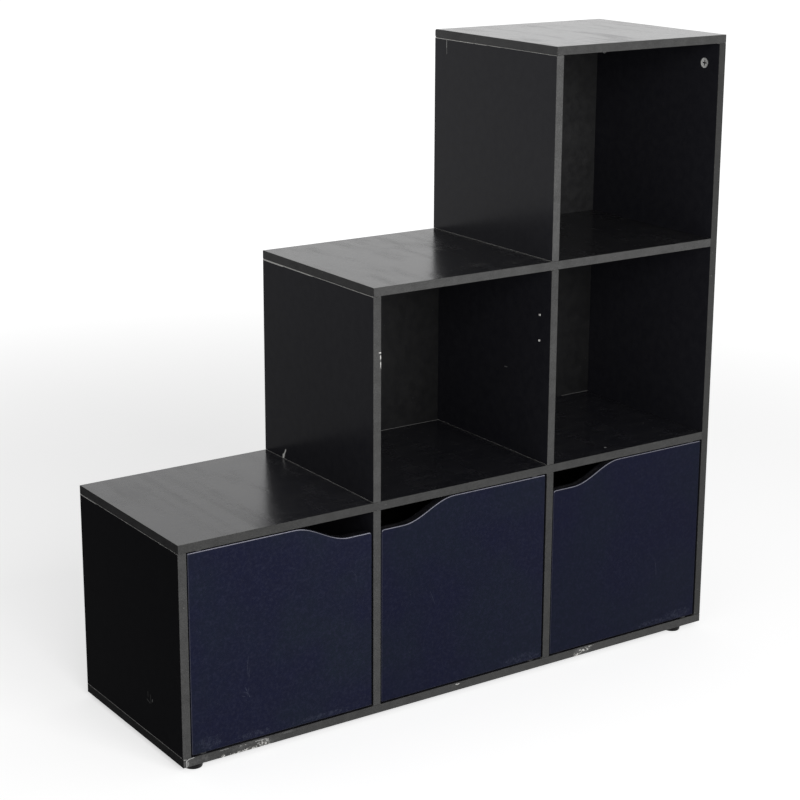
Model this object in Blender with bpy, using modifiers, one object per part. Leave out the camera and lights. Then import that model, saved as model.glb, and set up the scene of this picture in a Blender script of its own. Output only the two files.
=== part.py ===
"""Stepped cube bookcase: six square cubes in a staircase, the bottom three behind inset doors.

Metres, Z up. X runs along the width, the front is at minus Y, and the origin is on the floor
under the middle of the case.
"""

import math

import bmesh
import bpy
from mathutils import Matrix, Vector

# Case boards and cubes
ROWS = ("lower", "middle", "upper")
BOARD = 0.012
CELL = 0.288
DEPTH = 0.290
SEAT_GAP = 0.0003

# Back panels, each in a groove round its cube
BACK_THICKNESS = 0.003
BACK_SETBACK = 0.012
GROOVE_DEPTH = 0.004

# Feet
FOOT_HEIGHT = 0.008
FOOT_RADIUS = 0.014
FOOT_TAPER = 0.0015
FOOT_TAPER_HEIGHT = 0.004
FOOT_INSET_FRONT = 0.016
FOOT_INSET_LEFT = 0.023
FOOT_INSET_RIGHT = 0.044

# Cam connectors: a cam disc in a board's face and a bolt through its edge
CAM_RADIUS = 0.0075
CAM_THICKNESS = 0.0095
CAM_SETBACK = 0.031
CAM_EDGE_DISTANCE = 0.031
BOLT_RADIUS = 0.0025
BOLT_NECK_RADIUS = 0.0018
BOLT_NECK_LENGTH = 0.010
BOLT_BORE_RADIUS = 0.0032
BOLT_GRIP = 0.0085

# Wooden dowels, glued into the board that stands
DOWEL_RADIUS = 0.003
DOWEL_REACH = 0.008
DOWEL_SEAT = 0.006
DOWEL_EDGE_DISTANCE = 0.064
DOWEL_STAGGER = 0.032

# Doors, from the left: the name of each and the side that it is hinged at
DOORS = (("left", "left"), ("middle", "right"), ("right", "right"))
DOOR_THICKNESS = 0.015
DOOR_GAP = 0.002
DOOR_RECESS = 0.0005
DOOR_ROUND = 0.003
DOOR_ROUND_STEPS = 2
WAVE_DEPTH = 0.0275
WAVE_FLAT = 0.036
WAVE_RAMP = 0.087
WAVE_EASE = 0.363
WAVE_STEPS = 12

# Pivot hinges: a steel pin in each end of the door, turning in a nylon bush
HINGE_INSET = 0.018
PIN_RADIUS = 0.0025
PIN_SEAT = 0.020
PIN_CHAMFER = 0.0006
BUSH_LENGTH = 0.008
BUSH_WALL = 0.0016
FLANGE_WIDTH = 0.0022

# Magnetic catches, and the pilot holes of the screws that hold them
CATCH_DROP = 0.0882
CATCH_LENGTH = 0.046
CATCH_BODY_LENGTH = 0.028
CATCH_RISE = 0.012
CATCH_DEPTH = 0.0155
CATCH_AIR = 0.0005
EAR_THICKNESS = 0.003
EAR_DEPTH = 0.009
SCREW_SPACING = 0.0376
SCREW_RADIUS = 0.0016
PILOT_RADIUS = 0.00125
PILOT_DEPTH = 0.005
STRIKE_THICKNESS = 0.0012
STRIKE_WIDTH = 0.014
STRIKE_LENGTH = 0.030

# Number of sides of round shapes
SMALL_SIDES = 8
ROUND_SIDES = 12
FOOT_SIDES = 24

# How far a cutter runs past a face, and a joined shape runs into its carrier
OVERRUN = 0.001

# Points nearer than this are one, and edges flatter than the angle are smooth
WELD = 0.00001
SMOOTH_ANGLE = math.radians(45)

# Worked out from the sizes above
COLUMNS = len(ROWS)
PITCH = CELL + BOARD
WIDTH = COLUMNS * PITCH + BOARD
FRONT = -DEPTH / 2
REAR = DEPTH / 2
DOOR_SIDE = CELL - 2 * DOOR_GAP
DOOR_FRONT = FRONT + DOOR_RECESS
DOOR_REAR = DOOR_FRONT + DOOR_THICKNESS
CATCH_FRONT = DOOR_REAR + STRIKE_THICKNESS + CATCH_AIR
CATCH_MIDDLE = CATCH_FRONT + CATCH_DEPTH / 2

LEFTWARD = Vector((-1, 0, 0))
RIGHTWARD = Vector((1, 0, 0))
UP = Vector((0, 0, 1))
DOWN = Vector((0, 0, -1))


def clear_scene():
    for obj in list(bpy.data.objects):
        bpy.data.objects.remove(obj, do_unlink=True)


def new_collection(name, hidden=False):
    collection = bpy.data.collections.new(name)
    collection.hide_render = hidden
    bpy.context.scene.collection.children.link(collection)
    return collection


def new_material(name, colour, roughness, metallic=0.0):
    material = bpy.data.materials.new(name)
    material.use_nodes = True
    shader = material.node_tree.nodes["Principled BSDF"]
    shader.inputs["Base Color"].default_value = (*colour, 1.0)
    shader.inputs["Roughness"].default_value = roughness
    shader.inputs["Metallic"].default_value = metallic
    return material


clear_scene()
PARTS = new_collection("cube_bookcase")
CUTTERS = new_collection("cutters", hidden=True)

BOARD_BLACK = new_material("board_black", (0.014, 0.014, 0.015), 0.32)
BACK_BLACK = new_material("back_black", (0.010, 0.010, 0.011), 0.55)
DOOR_NAVY = new_material("door_navy", (0.016, 0.019, 0.034), 0.38)
ZINC = new_material("zinc", (0.52, 0.52, 0.50), 0.35, 1.0)
STEEL = new_material("steel", (0.60, 0.60, 0.60), 0.28, 1.0)
NYLON = new_material("nylon", (0.030, 0.030, 0.032), 0.45)
CATCH_PLASTIC = new_material("catch_plastic", (0.022, 0.021, 0.020), 0.50)
FOOT_PLASTIC = new_material("foot_plastic", (0.012, 0.012, 0.012), 0.50)


# Where the boards and cubes lie


def left_of(column):
    """X of the left face of an upright."""
    return -WIDTH / 2 + column * PITCH


def under(level):
    """Z of the underside of a horizontal board, 0 for the base board."""
    return FOOT_HEIGHT + level * PITCH


def cell_box(column, row):
    """Low and high corner of the clear space of a cube, over the full depth."""
    low = Vector((left_of(column) + BOARD, FRONT, under(row) + BOARD))
    high = Vector((left_of(column + 1), REAR, under(row + 1)))
    return low, high


def cells():
    return [(column, row) for column in range(COLUMNS) for row in range(column + 1)]


# Making, cutting and joining shapes


def add_object(name, mesh, material, cutter=False):
    obj = bpy.data.objects.new(name, mesh)
    if cutter:
        obj.display_type = "WIRE"
        obj.hide_render = True
        CUTTERS.objects.link(obj)
    else:
        mesh.materials.append(material)
        PARTS.objects.link(obj)
    return obj


def box(name, low, high, material=None, cutter=False):
    low, high = Vector(low), Vector(high)
    bm = bmesh.new()
    bmesh.ops.create_cube(bm, size=1)
    bmesh.ops.scale(bm, vec=high - low, verts=bm.verts)
    mesh = bpy.data.meshes.new(name)
    bm.to_mesh(mesh)
    bm.free()
    obj = add_object(name, mesh, material, cutter)
    obj.location = (low + high) / 2
    return obj


def aligned(point, direction):
    """Matrix that puts the origin on a point and turns +Z along a direction."""
    turn = direction.to_track_quat("Z", "Y").to_matrix().to_4x4()
    return Matrix.Translation(point) @ turn


def rod(name, start, direction, length, radius, sides, material=None, cutter=False):
    bm = bmesh.new()
    bmesh.ops.create_cone(
        bm, cap_ends=True, segments=sides, radius1=radius, radius2=radius, depth=length
    )
    bmesh.ops.translate(bm, vec=(0, 0, length / 2), verts=bm.verts)
    mesh = bpy.data.meshes.new(name)
    bm.to_mesh(mesh)
    bm.free()
    mesh.shade_smooth()
    mesh.set_sharp_from_angle(angle=SMOOTH_ANGLE)
    obj = add_object(name, mesh, material, cutter)
    obj.matrix_world = aligned(start, direction)
    return obj


def turned(name, profile, sides, point, direction, material=None, cutter=False, ring=False):
    """Solid of revolution. The profile lists radius and height down its outer side."""
    bm = bmesh.new()
    verts = [bm.verts.new((radius, 0, height)) for radius, height in profile]
    for first, second in zip(verts, verts[1:]):
        bm.edges.new((first, second))
    if ring:
        bm.edges.new((verts[-1], verts[0]))
    mesh = bpy.data.meshes.new(name)
    bm.to_mesh(mesh)
    bm.free()
    obj = add_object(name, mesh, material, cutter)
    screw = obj.modifiers.new("Turn", "SCREW")
    screw.steps = sides
    screw.render_steps = sides
    screw.use_merge_vertices = True
    screw.merge_threshold = WELD
    screw.use_smooth_shade = True
    obj.matrix_world = aligned(point, direction)
    return obj


def combine(target, tool, operation):
    modifier = target.modifiers.new(operation.title(), "BOOLEAN")
    modifier.operation = operation
    modifier.solver = "EXACT"
    modifier.object = tool


def drill(target, name, mouth, direction, radius, depth, sides):
    """Blind hole that starts on a face."""
    start = mouth - direction * OVERRUN
    hole = rod(name, start, direction, depth + OVERRUN, radius, sides, cutter=True)
    combine(target, hole, "DIFFERENCE")


# The boards


def make_boards():
    boards = {}
    boards["base_board"] = box(
        "base_board",
        (-WIDTH / 2, FRONT, under(0)),
        (WIDTH / 2, REAR, under(0) + BOARD),
        BOARD_BLACK,
    )
    for level in range(1, COLUMNS):
        name = f"{ROWS[level - 1]}_shelf"
        boards[name] = box(
            name,
            (left_of(level - 1), FRONT, under(level)),
            (left_of(COLUMNS) - SEAT_GAP, REAR, under(level) + BOARD),
            BOARD_BLACK,
        )
    boards["top_board"] = box(
        "top_board",
        (left_of(COLUMNS - 1), FRONT, under(COLUMNS)),
        (WIDTH / 2, REAR, under(COLUMNS) + BOARD),
        BOARD_BLACK,
    )
    for column, row in cells():
        name = upright_name(column, row)
        boards[name] = box(
            name,
            (left_of(column), FRONT, under(row) + BOARD + SEAT_GAP),
            (left_of(column) + BOARD, REAR, under(row + 1) - SEAT_GAP),
            BOARD_BLACK,
        )
    boards["right_side"] = box(
        "right_side",
        (left_of(COLUMNS), FRONT, under(0) + BOARD + SEAT_GAP),
        (WIDTH / 2, REAR, under(COLUMNS) - SEAT_GAP),
        BOARD_BLACK,
    )
    return boards


def upright_name(column, row):
    """Left upright of a cube: the outer side of its row, or a divider counted from the left."""
    if column == row:
        return f"{ROWS[row]}_left_side"
    return f"{ROWS[row]}_divider_{column - row}"


def horizontal_name(level):
    if level == 0:
        return "base_board"
    if level == COLUMNS:
        return "top_board"
    return f"{ROWS[level - 1]}_shelf"


def right_upright_name(column, row):
    if column + 1 == COLUMNS:
        return "right_side"
    return upright_name(column + 1, row)


def make_backs(boards):
    """One thin panel in each cube, held in a groove that runs round the four boards."""
    panel_rear = REAR - BACK_SETBACK
    panel_front = panel_rear - BACK_THICKNESS
    for column, row in cells():
        low, high = cell_box(column, row)
        name = f"{ROWS[row]}_back_panel_{column - row + 1}"
        reach = GROOVE_DEPTH - SEAT_GAP
        box(
            name,
            (low.x - reach, panel_front, low.z - reach),
            (high.x + reach, panel_rear, high.z + reach),
            BACK_BLACK,
        )
        groove = box(
            f"{name}_groove",
            (low.x - GROOVE_DEPTH, panel_front - SEAT_GAP, low.z - GROOVE_DEPTH),
            (high.x + GROOVE_DEPTH, panel_rear + SEAT_GAP, high.z + GROOVE_DEPTH),
            cutter=True,
        )
        around = (
            horizontal_name(row),
            horizontal_name(row + 1),
            upright_name(column, row),
            right_upright_name(column, row),
        )
        for board in around:
            combine(boards[board], groove, "DIFFERENCE")


# What joins the boards


def cam_connector(name, cam_board, bolt_board, edge, reach, face):
    """Cam disc and its bolt, with the pocket and the holes that they sit in.

    The edge is the point of the cam board's edge over the bolt, reach points from there into
    the bolt board, and face points out of the board face that the cam is let into.
    """
    centre = edge - reach * CAM_SETBACK
    mouth = centre + face * (BOARD / 2)
    pocket_depth = CAM_THICKNESS + SEAT_GAP
    grip_radius = BOLT_RADIUS + SEAT_GAP
    grip_depth = BOLT_GRIP + SEAT_GAP
    drill(cam_board, f"{name}_pocket", mouth, -face, CAM_RADIUS, pocket_depth, ROUND_SIDES)
    drill(cam_board, f"{name}_bore", edge, -reach, BOLT_BORE_RADIUS, CAM_SETBACK, SMALL_SIDES)
    drill(bolt_board, f"{name}_grip", edge, reach, grip_radius, grip_depth, SMALL_SIDES)
    disc_radius = CAM_RADIUS - SEAT_GAP
    disc = rod(name, mouth, -face, CAM_THICKNESS, disc_radius, ROUND_SIDES, ZINC)
    tip = CAM_SETBACK + BOLT_GRIP
    profile = (
        (0, tip),
        (BOLT_RADIUS, tip),
        (BOLT_RADIUS, BOLT_NECK_LENGTH),
        (BOLT_NECK_RADIUS, BOLT_NECK_LENGTH),
        (BOLT_NECK_RADIUS, 0),
        (0, 0),
    )
    bolt = turned(f"{name}_bolt", profile, SMALL_SIDES, centre, reach, cutter=True)
    combine(disc, bolt, "UNION")


def dowel(name, standing, receiving, edge, reach):
    """Dowel glued into the end of one board, and the hole for it in the other."""
    start = edge - reach * DOWEL_SEAT
    length = DOWEL_SEAT + DOWEL_REACH
    pin = rod(name, start, reach, length, DOWEL_RADIUS, SMALL_SIDES, cutter=True)
    combine(standing, pin, "UNION")
    hole_radius = DOWEL_RADIUS + SEAT_GAP
    hole_depth = DOWEL_REACH + SEAT_GAP
    drill(receiving, f"{name}_hole", edge, reach, hole_radius, hole_depth, SMALL_SIDES)


def cam_joint(name, cam_board, bolt_board, edge, reach, face):
    """Two connectors near the front and rear edges and a dowel half way between them."""
    places = (("front", FRONT + CAM_EDGE_DISTANCE), ("rear", REAR - CAM_EDGE_DISTANCE))
    for side, y in places:
        point = Vector((edge.x, y, edge.z))
        cam_connector(f"{name}_{side}_cam", cam_board, bolt_board, point, reach, face)
    middle = Vector((edge.x, 0, edge.z))
    dowel(f"{name}_dowel", cam_board, bolt_board, middle, reach)


def join_left_side(boards, row):
    """A stepped outer side, clamped to the boards below and above it by cams on its inside."""
    side = boards[upright_name(row, row)]
    x = left_of(row) + BOARD / 2
    bottom = Vector((x, 0, under(row) + BOARD))
    top = Vector((x, 0, under(row + 1)))
    name = upright_name(row, row)
    cam_joint(f"{name}_bottom", side, boards[horizontal_name(row)], bottom, DOWN, RIGHTWARD)
    cam_joint(f"{name}_top", side, boards[horizontal_name(row + 1)], top, UP, RIGHTWARD)


def join_divider(boards, column, row):
    """A divider stands on dowels alone: the boards over and under it are clamped elsewhere.

    The lower end's dowels lie further in than the upper end's, so two dividers can share a shelf.
    """
    divider = boards[upright_name(column, row)]
    x = left_of(column) + BOARD / 2
    lower_inset = DOWEL_EDGE_DISTANCE + DOWEL_STAGGER
    ends = (
        ("bottom", under(row) + BOARD, DOWN, boards[horizontal_name(row)], lower_inset),
        ("top", under(row + 1), UP, boards[horizontal_name(row + 1)], DOWEL_EDGE_DISTANCE),
    )
    for end, z, reach, receiving, inset in ends:
        for side, y in (("front", FRONT + inset), ("rear", REAR - inset)):
            name = f"{upright_name(column, row)}_{end}_{side}_dowel"
            dowel(name, divider, receiving, Vector((x, y, z)), reach)


def join_right_side(boards):
    side = boards["right_side"]
    x = left_of(COLUMNS) + BOARD / 2
    bottom = Vector((x, 0, under(0) + BOARD))
    top = Vector((x, 0, under(COLUMNS)))
    cam_joint("right_side_bottom", side, boards["base_board"], bottom, DOWN, LEFTWARD)
    cam_joint("right_side_top", side, boards["top_board"], top, UP, LEFTWARD)
    for level in range(1, COLUMNS):
        name = horizontal_name(level)
        end = Vector((left_of(COLUMNS), 0, under(level) + BOARD / 2))
        cam_joint(f"{name}_end", boards[name], side, end, RIGHTWARD, DOWN)


# Doors, their hinges and catches


def door_outline(side):
    """Square with an S-shaped dip at the top of its pull side, which is where a hand goes in.

    X counts from the hinge axis towards the pull edge, side is 1 when that is to the right.
    Each point holds its place and the reach of its handles along X.
    """
    hinge_edge = -HINGE_INSET
    pull_edge = DOOR_SIDE - HINGE_INSET
    floor_end = pull_edge - WAVE_FLAT
    ramp_end = floor_end - WAVE_RAMP
    ease = WAVE_EASE * WAVE_RAMP
    points = (
        (hinge_edge, 0, 0),
        (pull_edge, 0, 0),
        (pull_edge, DOOR_SIDE - WAVE_DEPTH, 0),
        (floor_end, DOOR_SIDE - WAVE_DEPTH, ease),
        (ramp_end, DOOR_SIDE, ease),
        (hinge_edge, DOOR_SIDE, 0),
    )
    return [(side * x, z, side * handle) for x, z, handle in points]


def door_panel(name, side, axis):
    """Door slab as an extruded outline with soft edges, its origin on the hinge axis."""
    curve = bpy.data.curves.new(f"{name}_outline", "CURVE")
    curve.dimensions = "2D"
    curve.fill_mode = "BOTH"
    curve.extrude = DOOR_THICKNESS / 2
    curve.resolution_u = WAVE_STEPS
    outline = door_outline(side)
    spline = curve.splines.new("BEZIER")
    spline.bezier_points.add(len(outline) - 1)
    spline.use_cyclic_u = True
    for point, (x, z, handle) in zip(spline.bezier_points, outline):
        point.co = (x, z, 0)
        if handle:
            point.handle_left_type = "FREE"
            point.handle_right_type = "FREE"
            point.handle_left = (x + handle, z, 0)
            point.handle_right = (x - handle, z, 0)
        else:
            point.handle_left_type = "VECTOR"
            point.handle_right_type = "VECTOR"
    guide = bpy.data.objects.new(f"{name}_guide", curve)
    PARTS.objects.link(guide)
    guide.location = (axis.x, axis.y, axis.z)
    guide.rotation_euler = (math.pi / 2, 0, 0)
    bpy.context.view_layer.update()
    evaluated = guide.evaluated_get(bpy.context.evaluated_depsgraph_get())
    mesh = bpy.data.meshes.new_from_object(evaluated)
    mesh.name = name
    bm = bmesh.new()
    bm.from_mesh(mesh)
    bmesh.ops.remove_doubles(bm, verts=bm.verts, dist=WELD)
    bmesh.ops.recalc_face_normals(bm, faces=bm.faces)
    bm.to_mesh(mesh)
    bm.free()
    mesh.materials.clear()
    door = add_object(name, mesh, DOOR_NAVY)
    door.matrix_world = guide.matrix_world
    bpy.data.objects.remove(guide, do_unlink=True)
    bevel = door.modifiers.new("Soft edges", "BEVEL")
    bevel.width = DOOR_ROUND
    bevel.segments = DOOR_ROUND_STEPS
    bevel.limit_method = "ANGLE"
    bevel.angle_limit = SMOOTH_ANGLE
    mesh.shade_smooth()
    mesh.set_sharp_from_angle(angle=SMOOTH_ANGLE)
    return door


def bush(name, board, mouth, into):
    """Flanged nylon bush let into a board. Its flange keeps the door off the board."""
    bore = PIN_RADIUS + SEAT_GAP
    barrel = bore + BUSH_WALL
    flange_radius = barrel + FLANGE_WIDTH
    flange_top = DOOR_GAP - SEAT_GAP
    profile = (
        (bore, flange_top),
        (flange_radius, flange_top),
        (flange_radius, SEAT_GAP),
        (barrel, SEAT_GAP),
        (barrel, -BUSH_LENGTH),
        (bore, -BUSH_LENGTH),
    )
    turned(name, profile, ROUND_SIDES, mouth, -into, NYLON, ring=True)
    hole_radius = barrel + SEAT_GAP
    hole_depth = BUSH_LENGTH + SEAT_GAP
    drill(board, f"{name}_hole", mouth, into, hole_radius, hole_depth, ROUND_SIDES)


def pivot(name, door, board, mouth, into):
    """Pin between the end of a door and the bush in the board beyond it."""
    seat = mouth - into * DOOR_GAP
    drill(door, f"{name}_seat", seat, -into, PIN_RADIUS + SEAT_GAP, PIN_SEAT, ROUND_SIDES)
    low = SEAT_GAP - PIN_SEAT
    high = DOOR_GAP + BUSH_LENGTH - SEAT_GAP
    profile = (
        (0, high),
        (PIN_RADIUS - PIN_CHAMFER, high),
        (PIN_RADIUS, high - PIN_CHAMFER),
        (PIN_RADIUS, low + PIN_CHAMFER),
        (PIN_RADIUS - PIN_CHAMFER, low),
        (0, low),
    )
    pin = turned(f"{name}_pin", profile, ROUND_SIDES, seat, into, STEEL)
    bush(f"{name}_bush", board, mouth, into)
    return pin


def screw_pilots(name, board, wall, into, middle):
    """Two pilot holes for the screws of a catch in the face of an upright."""
    for number, offset in enumerate((SCREW_SPACING / 2, -SCREW_SPACING / 2), 1):
        mouth = Vector((wall, CATCH_MIDDLE, middle + offset))
        pilot = f"{name}_pilot_{number}"
        drill(board, pilot, mouth, -into, PILOT_RADIUS, PILOT_DEPTH, SMALL_SIDES)


def catch(name, wall, into, middle):
    """Magnetic catch: a block on a base with two ears, screwed to the upright."""
    outward = into.x

    def across(low, high):
        return sorted((wall + outward * low, wall + outward * high))

    x_low, x_high = across(SEAT_GAP, CATCH_RISE)
    body = box(
        name,
        (x_low, CATCH_FRONT, middle - CATCH_BODY_LENGTH / 2),
        (x_high, CATCH_FRONT + CATCH_DEPTH, middle + CATCH_BODY_LENGTH / 2),
        CATCH_PLASTIC,
    )
    x_low, x_high = across(SEAT_GAP, SEAT_GAP + EAR_THICKNESS)
    ears = box(
        f"{name}_ears",
        (x_low, CATCH_MIDDLE - EAR_DEPTH / 2, middle - CATCH_LENGTH / 2),
        (x_high, CATCH_MIDDLE + EAR_DEPTH / 2, middle + CATCH_LENGTH / 2),
        cutter=True,
    )
    combine(body, ears, "UNION")
    for number, offset in enumerate((SCREW_SPACING / 2, -SCREW_SPACING / 2), 1):
        mouth = Vector((wall, CATCH_MIDDLE, middle + offset))
        drill(body, f"{name}_hole_{number}", mouth, into, SCREW_RADIUS, CATCH_RISE, SMALL_SIDES)


def strike(name, door, pull_edge, inward, middle):
    """Steel plate on the back of the door, opposite the catch and joined to the door here."""
    near = pull_edge + inward * DOOR_ROUND
    x_low, x_high = sorted((near, near + inward * STRIKE_WIDTH))
    plate = box(
        name,
        (x_low, DOOR_REAR - OVERRUN, middle - STRIKE_LENGTH / 2),
        (x_high, DOOR_REAR + STRIKE_THICKNESS, middle + STRIKE_LENGTH / 2),
        cutter=True,
    )
    combine(door, plate, "UNION")


def make_door(boards, column, name, hinge):
    """Door of a bottom cube with its two pivots, strike and catch."""
    low, high = cell_box(column, 0)
    side = 1 if hinge == "left" else -1
    hinge_wall = low.x if hinge == "left" else high.x
    pull_wall = high.x if hinge == "left" else low.x
    axis_x = hinge_wall + side * (DOOR_GAP + HINGE_INSET)
    axis_y = DOOR_FRONT + DOOR_THICKNESS / 2
    axis = Vector((axis_x, axis_y, low.z + DOOR_GAP))
    door = door_panel(f"{name}_door", side, axis)

    lower_mouth = Vector((axis_x, axis_y, low.z))
    upper_mouth = Vector((axis_x, axis_y, high.z))
    base = boards[horizontal_name(0)]
    shelf = boards[horizontal_name(1)]
    pivot(f"{name}_door_lower", door, base, lower_mouth, DOWN)
    pivot(f"{name}_door_upper", door, shelf, upper_mouth, UP)

    middle = high.z - CATCH_DROP
    into = Vector((-side, 0, 0))
    pull_edge = pull_wall - side * DOOR_GAP
    strike(f"{name}_door_strike", door, pull_edge, -side, middle)
    pull_board = right_upright_name(column, 0) if side == 1 else upright_name(column, 0)
    screw_pilots(f"{name}_door", boards[pull_board], pull_wall, into, middle)
    catch(f"{name}_door_catch", pull_wall, into, middle)


def make_spare_pilots(boards):
    """Pilot holes for a catch in the open cube left of the middle divider."""
    column, row = 1, 1
    high = cell_box(column, row)[1]
    board = boards[right_upright_name(column, row)]
    screw_pilots("spare_catch", board, high.x, LEFTWARD, high.z - CATCH_DROP)


# Feet


def make_feet():
    """Round plastic glides under the four corners of the base board."""
    top = FOOT_HEIGHT - SEAT_GAP
    profile = (
        (0, top),
        (FOOT_RADIUS, top),
        (FOOT_RADIUS, FOOT_TAPER_HEIGHT),
        (FOOT_RADIUS - FOOT_TAPER, 0),
        (0, 0),
    )
    across = (("left", -WIDTH / 2 + FOOT_INSET_LEFT), ("right", WIDTH / 2 - FOOT_INSET_RIGHT))
    along = (("front", FRONT + FOOT_INSET_FRONT), ("rear", REAR - FOOT_INSET_FRONT))
    for side, x in across:
        for end, y in along:
            turned(f"{end}_{side}_foot", profile, FOOT_SIDES, Vector((x, y, 0)), UP, FOOT_PLASTIC)


def build():
    boards = make_boards()
    make_backs(boards)
    for column, row in cells():
        if column == row:
            join_left_side(boards, row)
        else:
            join_divider(boards, column, row)
    join_right_side(boards)
    for column, (name, hinge) in enumerate(DOORS):
        make_door(boards, column, name, hinge)
    make_spare_pilots(boards)
    make_feet()


build()
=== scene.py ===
import math

import bmesh
import bpy
from mathutils import Matrix, Vector


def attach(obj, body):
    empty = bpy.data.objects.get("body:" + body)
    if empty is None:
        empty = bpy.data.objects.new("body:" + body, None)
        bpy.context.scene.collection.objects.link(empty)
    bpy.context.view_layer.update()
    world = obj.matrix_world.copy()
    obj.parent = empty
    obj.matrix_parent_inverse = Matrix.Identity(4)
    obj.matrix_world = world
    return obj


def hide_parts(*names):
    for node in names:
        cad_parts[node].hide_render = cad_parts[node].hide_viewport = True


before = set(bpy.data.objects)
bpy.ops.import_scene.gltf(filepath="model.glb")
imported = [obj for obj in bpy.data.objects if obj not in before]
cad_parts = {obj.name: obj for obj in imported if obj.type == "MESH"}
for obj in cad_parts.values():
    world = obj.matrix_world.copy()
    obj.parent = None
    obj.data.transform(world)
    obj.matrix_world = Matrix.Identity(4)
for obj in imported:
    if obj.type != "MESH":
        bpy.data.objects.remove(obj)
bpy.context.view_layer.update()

# Base board: one 12 mm particle board under the whole case, faced with black melamine foil.
# It is sawn to size, its front edge and both ends get a thin glued strip, and it is drilled
# before the unit is packed flat. Years of being pushed about have chipped its front strip.
thick, cube = 0.012, 0.288
pitch = thick + cube
half_width = (3 * pitch + thick) / 2
front, rear = -0.145, 0.145
foot_high = 0.008
upright_x = [-half_width + count * pitch for count in range(4)]
lying_z = [foot_high + count * pitch for count in range(4)]
seat = 0.0003
strip_thick = 0.0006
eased, seam_tall, rim_reach = 0.0003, 0.00018, 0.0016
boards = {}
origin = Vector((0, 0, 0))
left_way, right_way = Vector((-1, 0, 0)), Vector((1, 0, 0))
front_way, up_way, down_way = Vector((0, -1, 0)), Vector((0, 0, 1)), Vector((0, 0, -1))


def leave_edit():
    bpy.ops.object.mode_set(mode="OBJECT")


def deselect_all():
    if bpy.context.object and bpy.context.object.mode == "EDIT":
        leave_edit()
    bpy.ops.object.select_all(action="DESELECT")


def take(piece):
    """Only this piece is selected and active, in object mode."""
    deselect_all()
    piece.select_set(True)
    bpy.context.view_layer.objects.active = piece


def pick(piece, kind, test):
    """Edit mode, with only the vertices, edges or faces that pass the test selected."""
    bpy.ops.object.mode_set(mode="EDIT")
    bpy.ops.mesh.select_mode(type=kind)
    bpy.ops.mesh.select_all(action="DESELECT")
    mesh = bmesh.from_edit_mesh(piece.data)
    for part in {"VERT": mesh.verts, "EDGE": mesh.edges, "FACE": mesh.faces}[kind]:
        if test(part):
            part.select_set(True)
    mesh.select_flush_mode()
    bmesh.update_edit_mesh(piece.data)


def bevel(offset, segments):
    bpy.ops.mesh.bevel(offset=offset, segments=segments, affect="EDGES")


def cut_line(point, way):
    """A line of edges round the piece, where a plane crosses it."""
    bpy.ops.mesh.select_all(action="SELECT")
    bpy.ops.mesh.bisect(plane_co=point, plane_no=way)


def named(piece, name, material):
    piece.name = piece.data.name = name
    if material:
        piece.data.materials.append(material)
    return piece


def block(name, low, high, material=None):
    """A cube primitive at its size and place, ready to be shaped."""
    deselect_all()
    low, high = Vector(low), Vector(high)
    bpy.ops.mesh.primitive_cube_add(size=1, location=(low + high) / 2, scale=high - low)
    bpy.ops.object.transform_apply(location=True, rotation=True, scale=True)
    return named(bpy.context.object, name, material)


def round_bar(name, radius, length, start, along, sides, material=None):
    """A cylinder primitive that begins at a point and runs along a direction."""
    deselect_all()
    turn = along.to_track_quat("Z", "Y").to_euler()
    bpy.ops.mesh.primitive_cylinder_add(
        vertices=sides, radius=radius, depth=length, location=start + along * length / 2, rotation=turn
    )
    bpy.ops.object.transform_apply(location=True, rotation=True, scale=True)
    return named(bpy.context.object, name, material)


def new_group(name, given, made):
    """A node group. Three numbers make a vector input, one a value, and Colour is the one colour."""
    group = bpy.data.node_groups.new(name, "ShaderNodeTree")
    for label, value in given.items():
        kind = "NodeSocketVector" if isinstance(value, tuple) else "NodeSocketFloat"
        group.interface.new_socket(label, in_out="INPUT", socket_type=kind).default_value = value
    for label in made:
        kind = "NodeSocketColor" if label == "Colour" else "NodeSocketFloat"
        group.interface.new_socket(label, in_out="OUTPUT", socket_type=kind)
    return group, group.nodes.new("NodeGroupInput").outputs, group.nodes.new("NodeGroupOutput").inputs


def put(tree, kind, **given):
    """A shader node. A value sets a setting or an input, and a socket is linked to an input."""
    made = tree.nodes.new("ShaderNode" + kind)
    for key, value in given.items():
        if key in made.bl_rna.properties:
            setattr(made, key, value)
            continue
        numbered = key.startswith("in") and key[2:].isdigit()
        socket = made.inputs[int(key[2:])] if numbered else made.inputs[key.replace("_", " ")]
        if isinstance(value, bpy.types.NodeSocket):
            tree.links.new(value, socket)
        else:
            socket.default_value = value
    return made


def maths(tree, what, first, second=0.0, clamp=False):
    return put(tree, "Math", operation=what, in0=first, in1=second, use_clamp=clamp).outputs[0]


def times(tree, first, second):
    return maths(tree, "MULTIPLY", first, second)


def plus(tree, first, second):
    return maths(tree, "ADD", first, second)


def raised(tree, value, mask, amount):
    """A value with an amount added where the mask is."""
    return plus(tree, value, times(tree, mask, amount))


def vectors(tree, what, first, second=(0, 0, 0), out=0):
    """Vector maths. Output 0 is a vector and output 1 a number."""
    return put(tree, "VectorMath", operation=what, in0=first, in1=second).outputs[out]


def stretched(tree, place, factors):
    return vectors(tree, "MULTIPLY", place, factors)


def part_of(tree, vector, axis):
    return put(tree, "SeparateXYZ", in0=vector).outputs[axis]


def facing(tree, axis):
    """How far the surface faces along an axis, from -1 to 1."""
    return part_of(tree, put(tree, "TexCoord").outputs["Normal"], axis)


def blend_colours(tree, share, first, second):
    """Two colours mixed. Each is a socket or three numbers."""
    first, second = (
        colour if isinstance(colour, bpy.types.NodeSocket) else (*colour, 1) for colour in (first, second)
    )
    return put(tree, "Mix", data_type="RGBA", in0=share, in6=first, in7=second).outputs[2]


def tint(tree, colour, mask, share, shade):
    """The colour, with a share of a shade laid over it where the mask is."""
    return blend_colours(tree, times(tree, mask, share), colour, shade)


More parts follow.
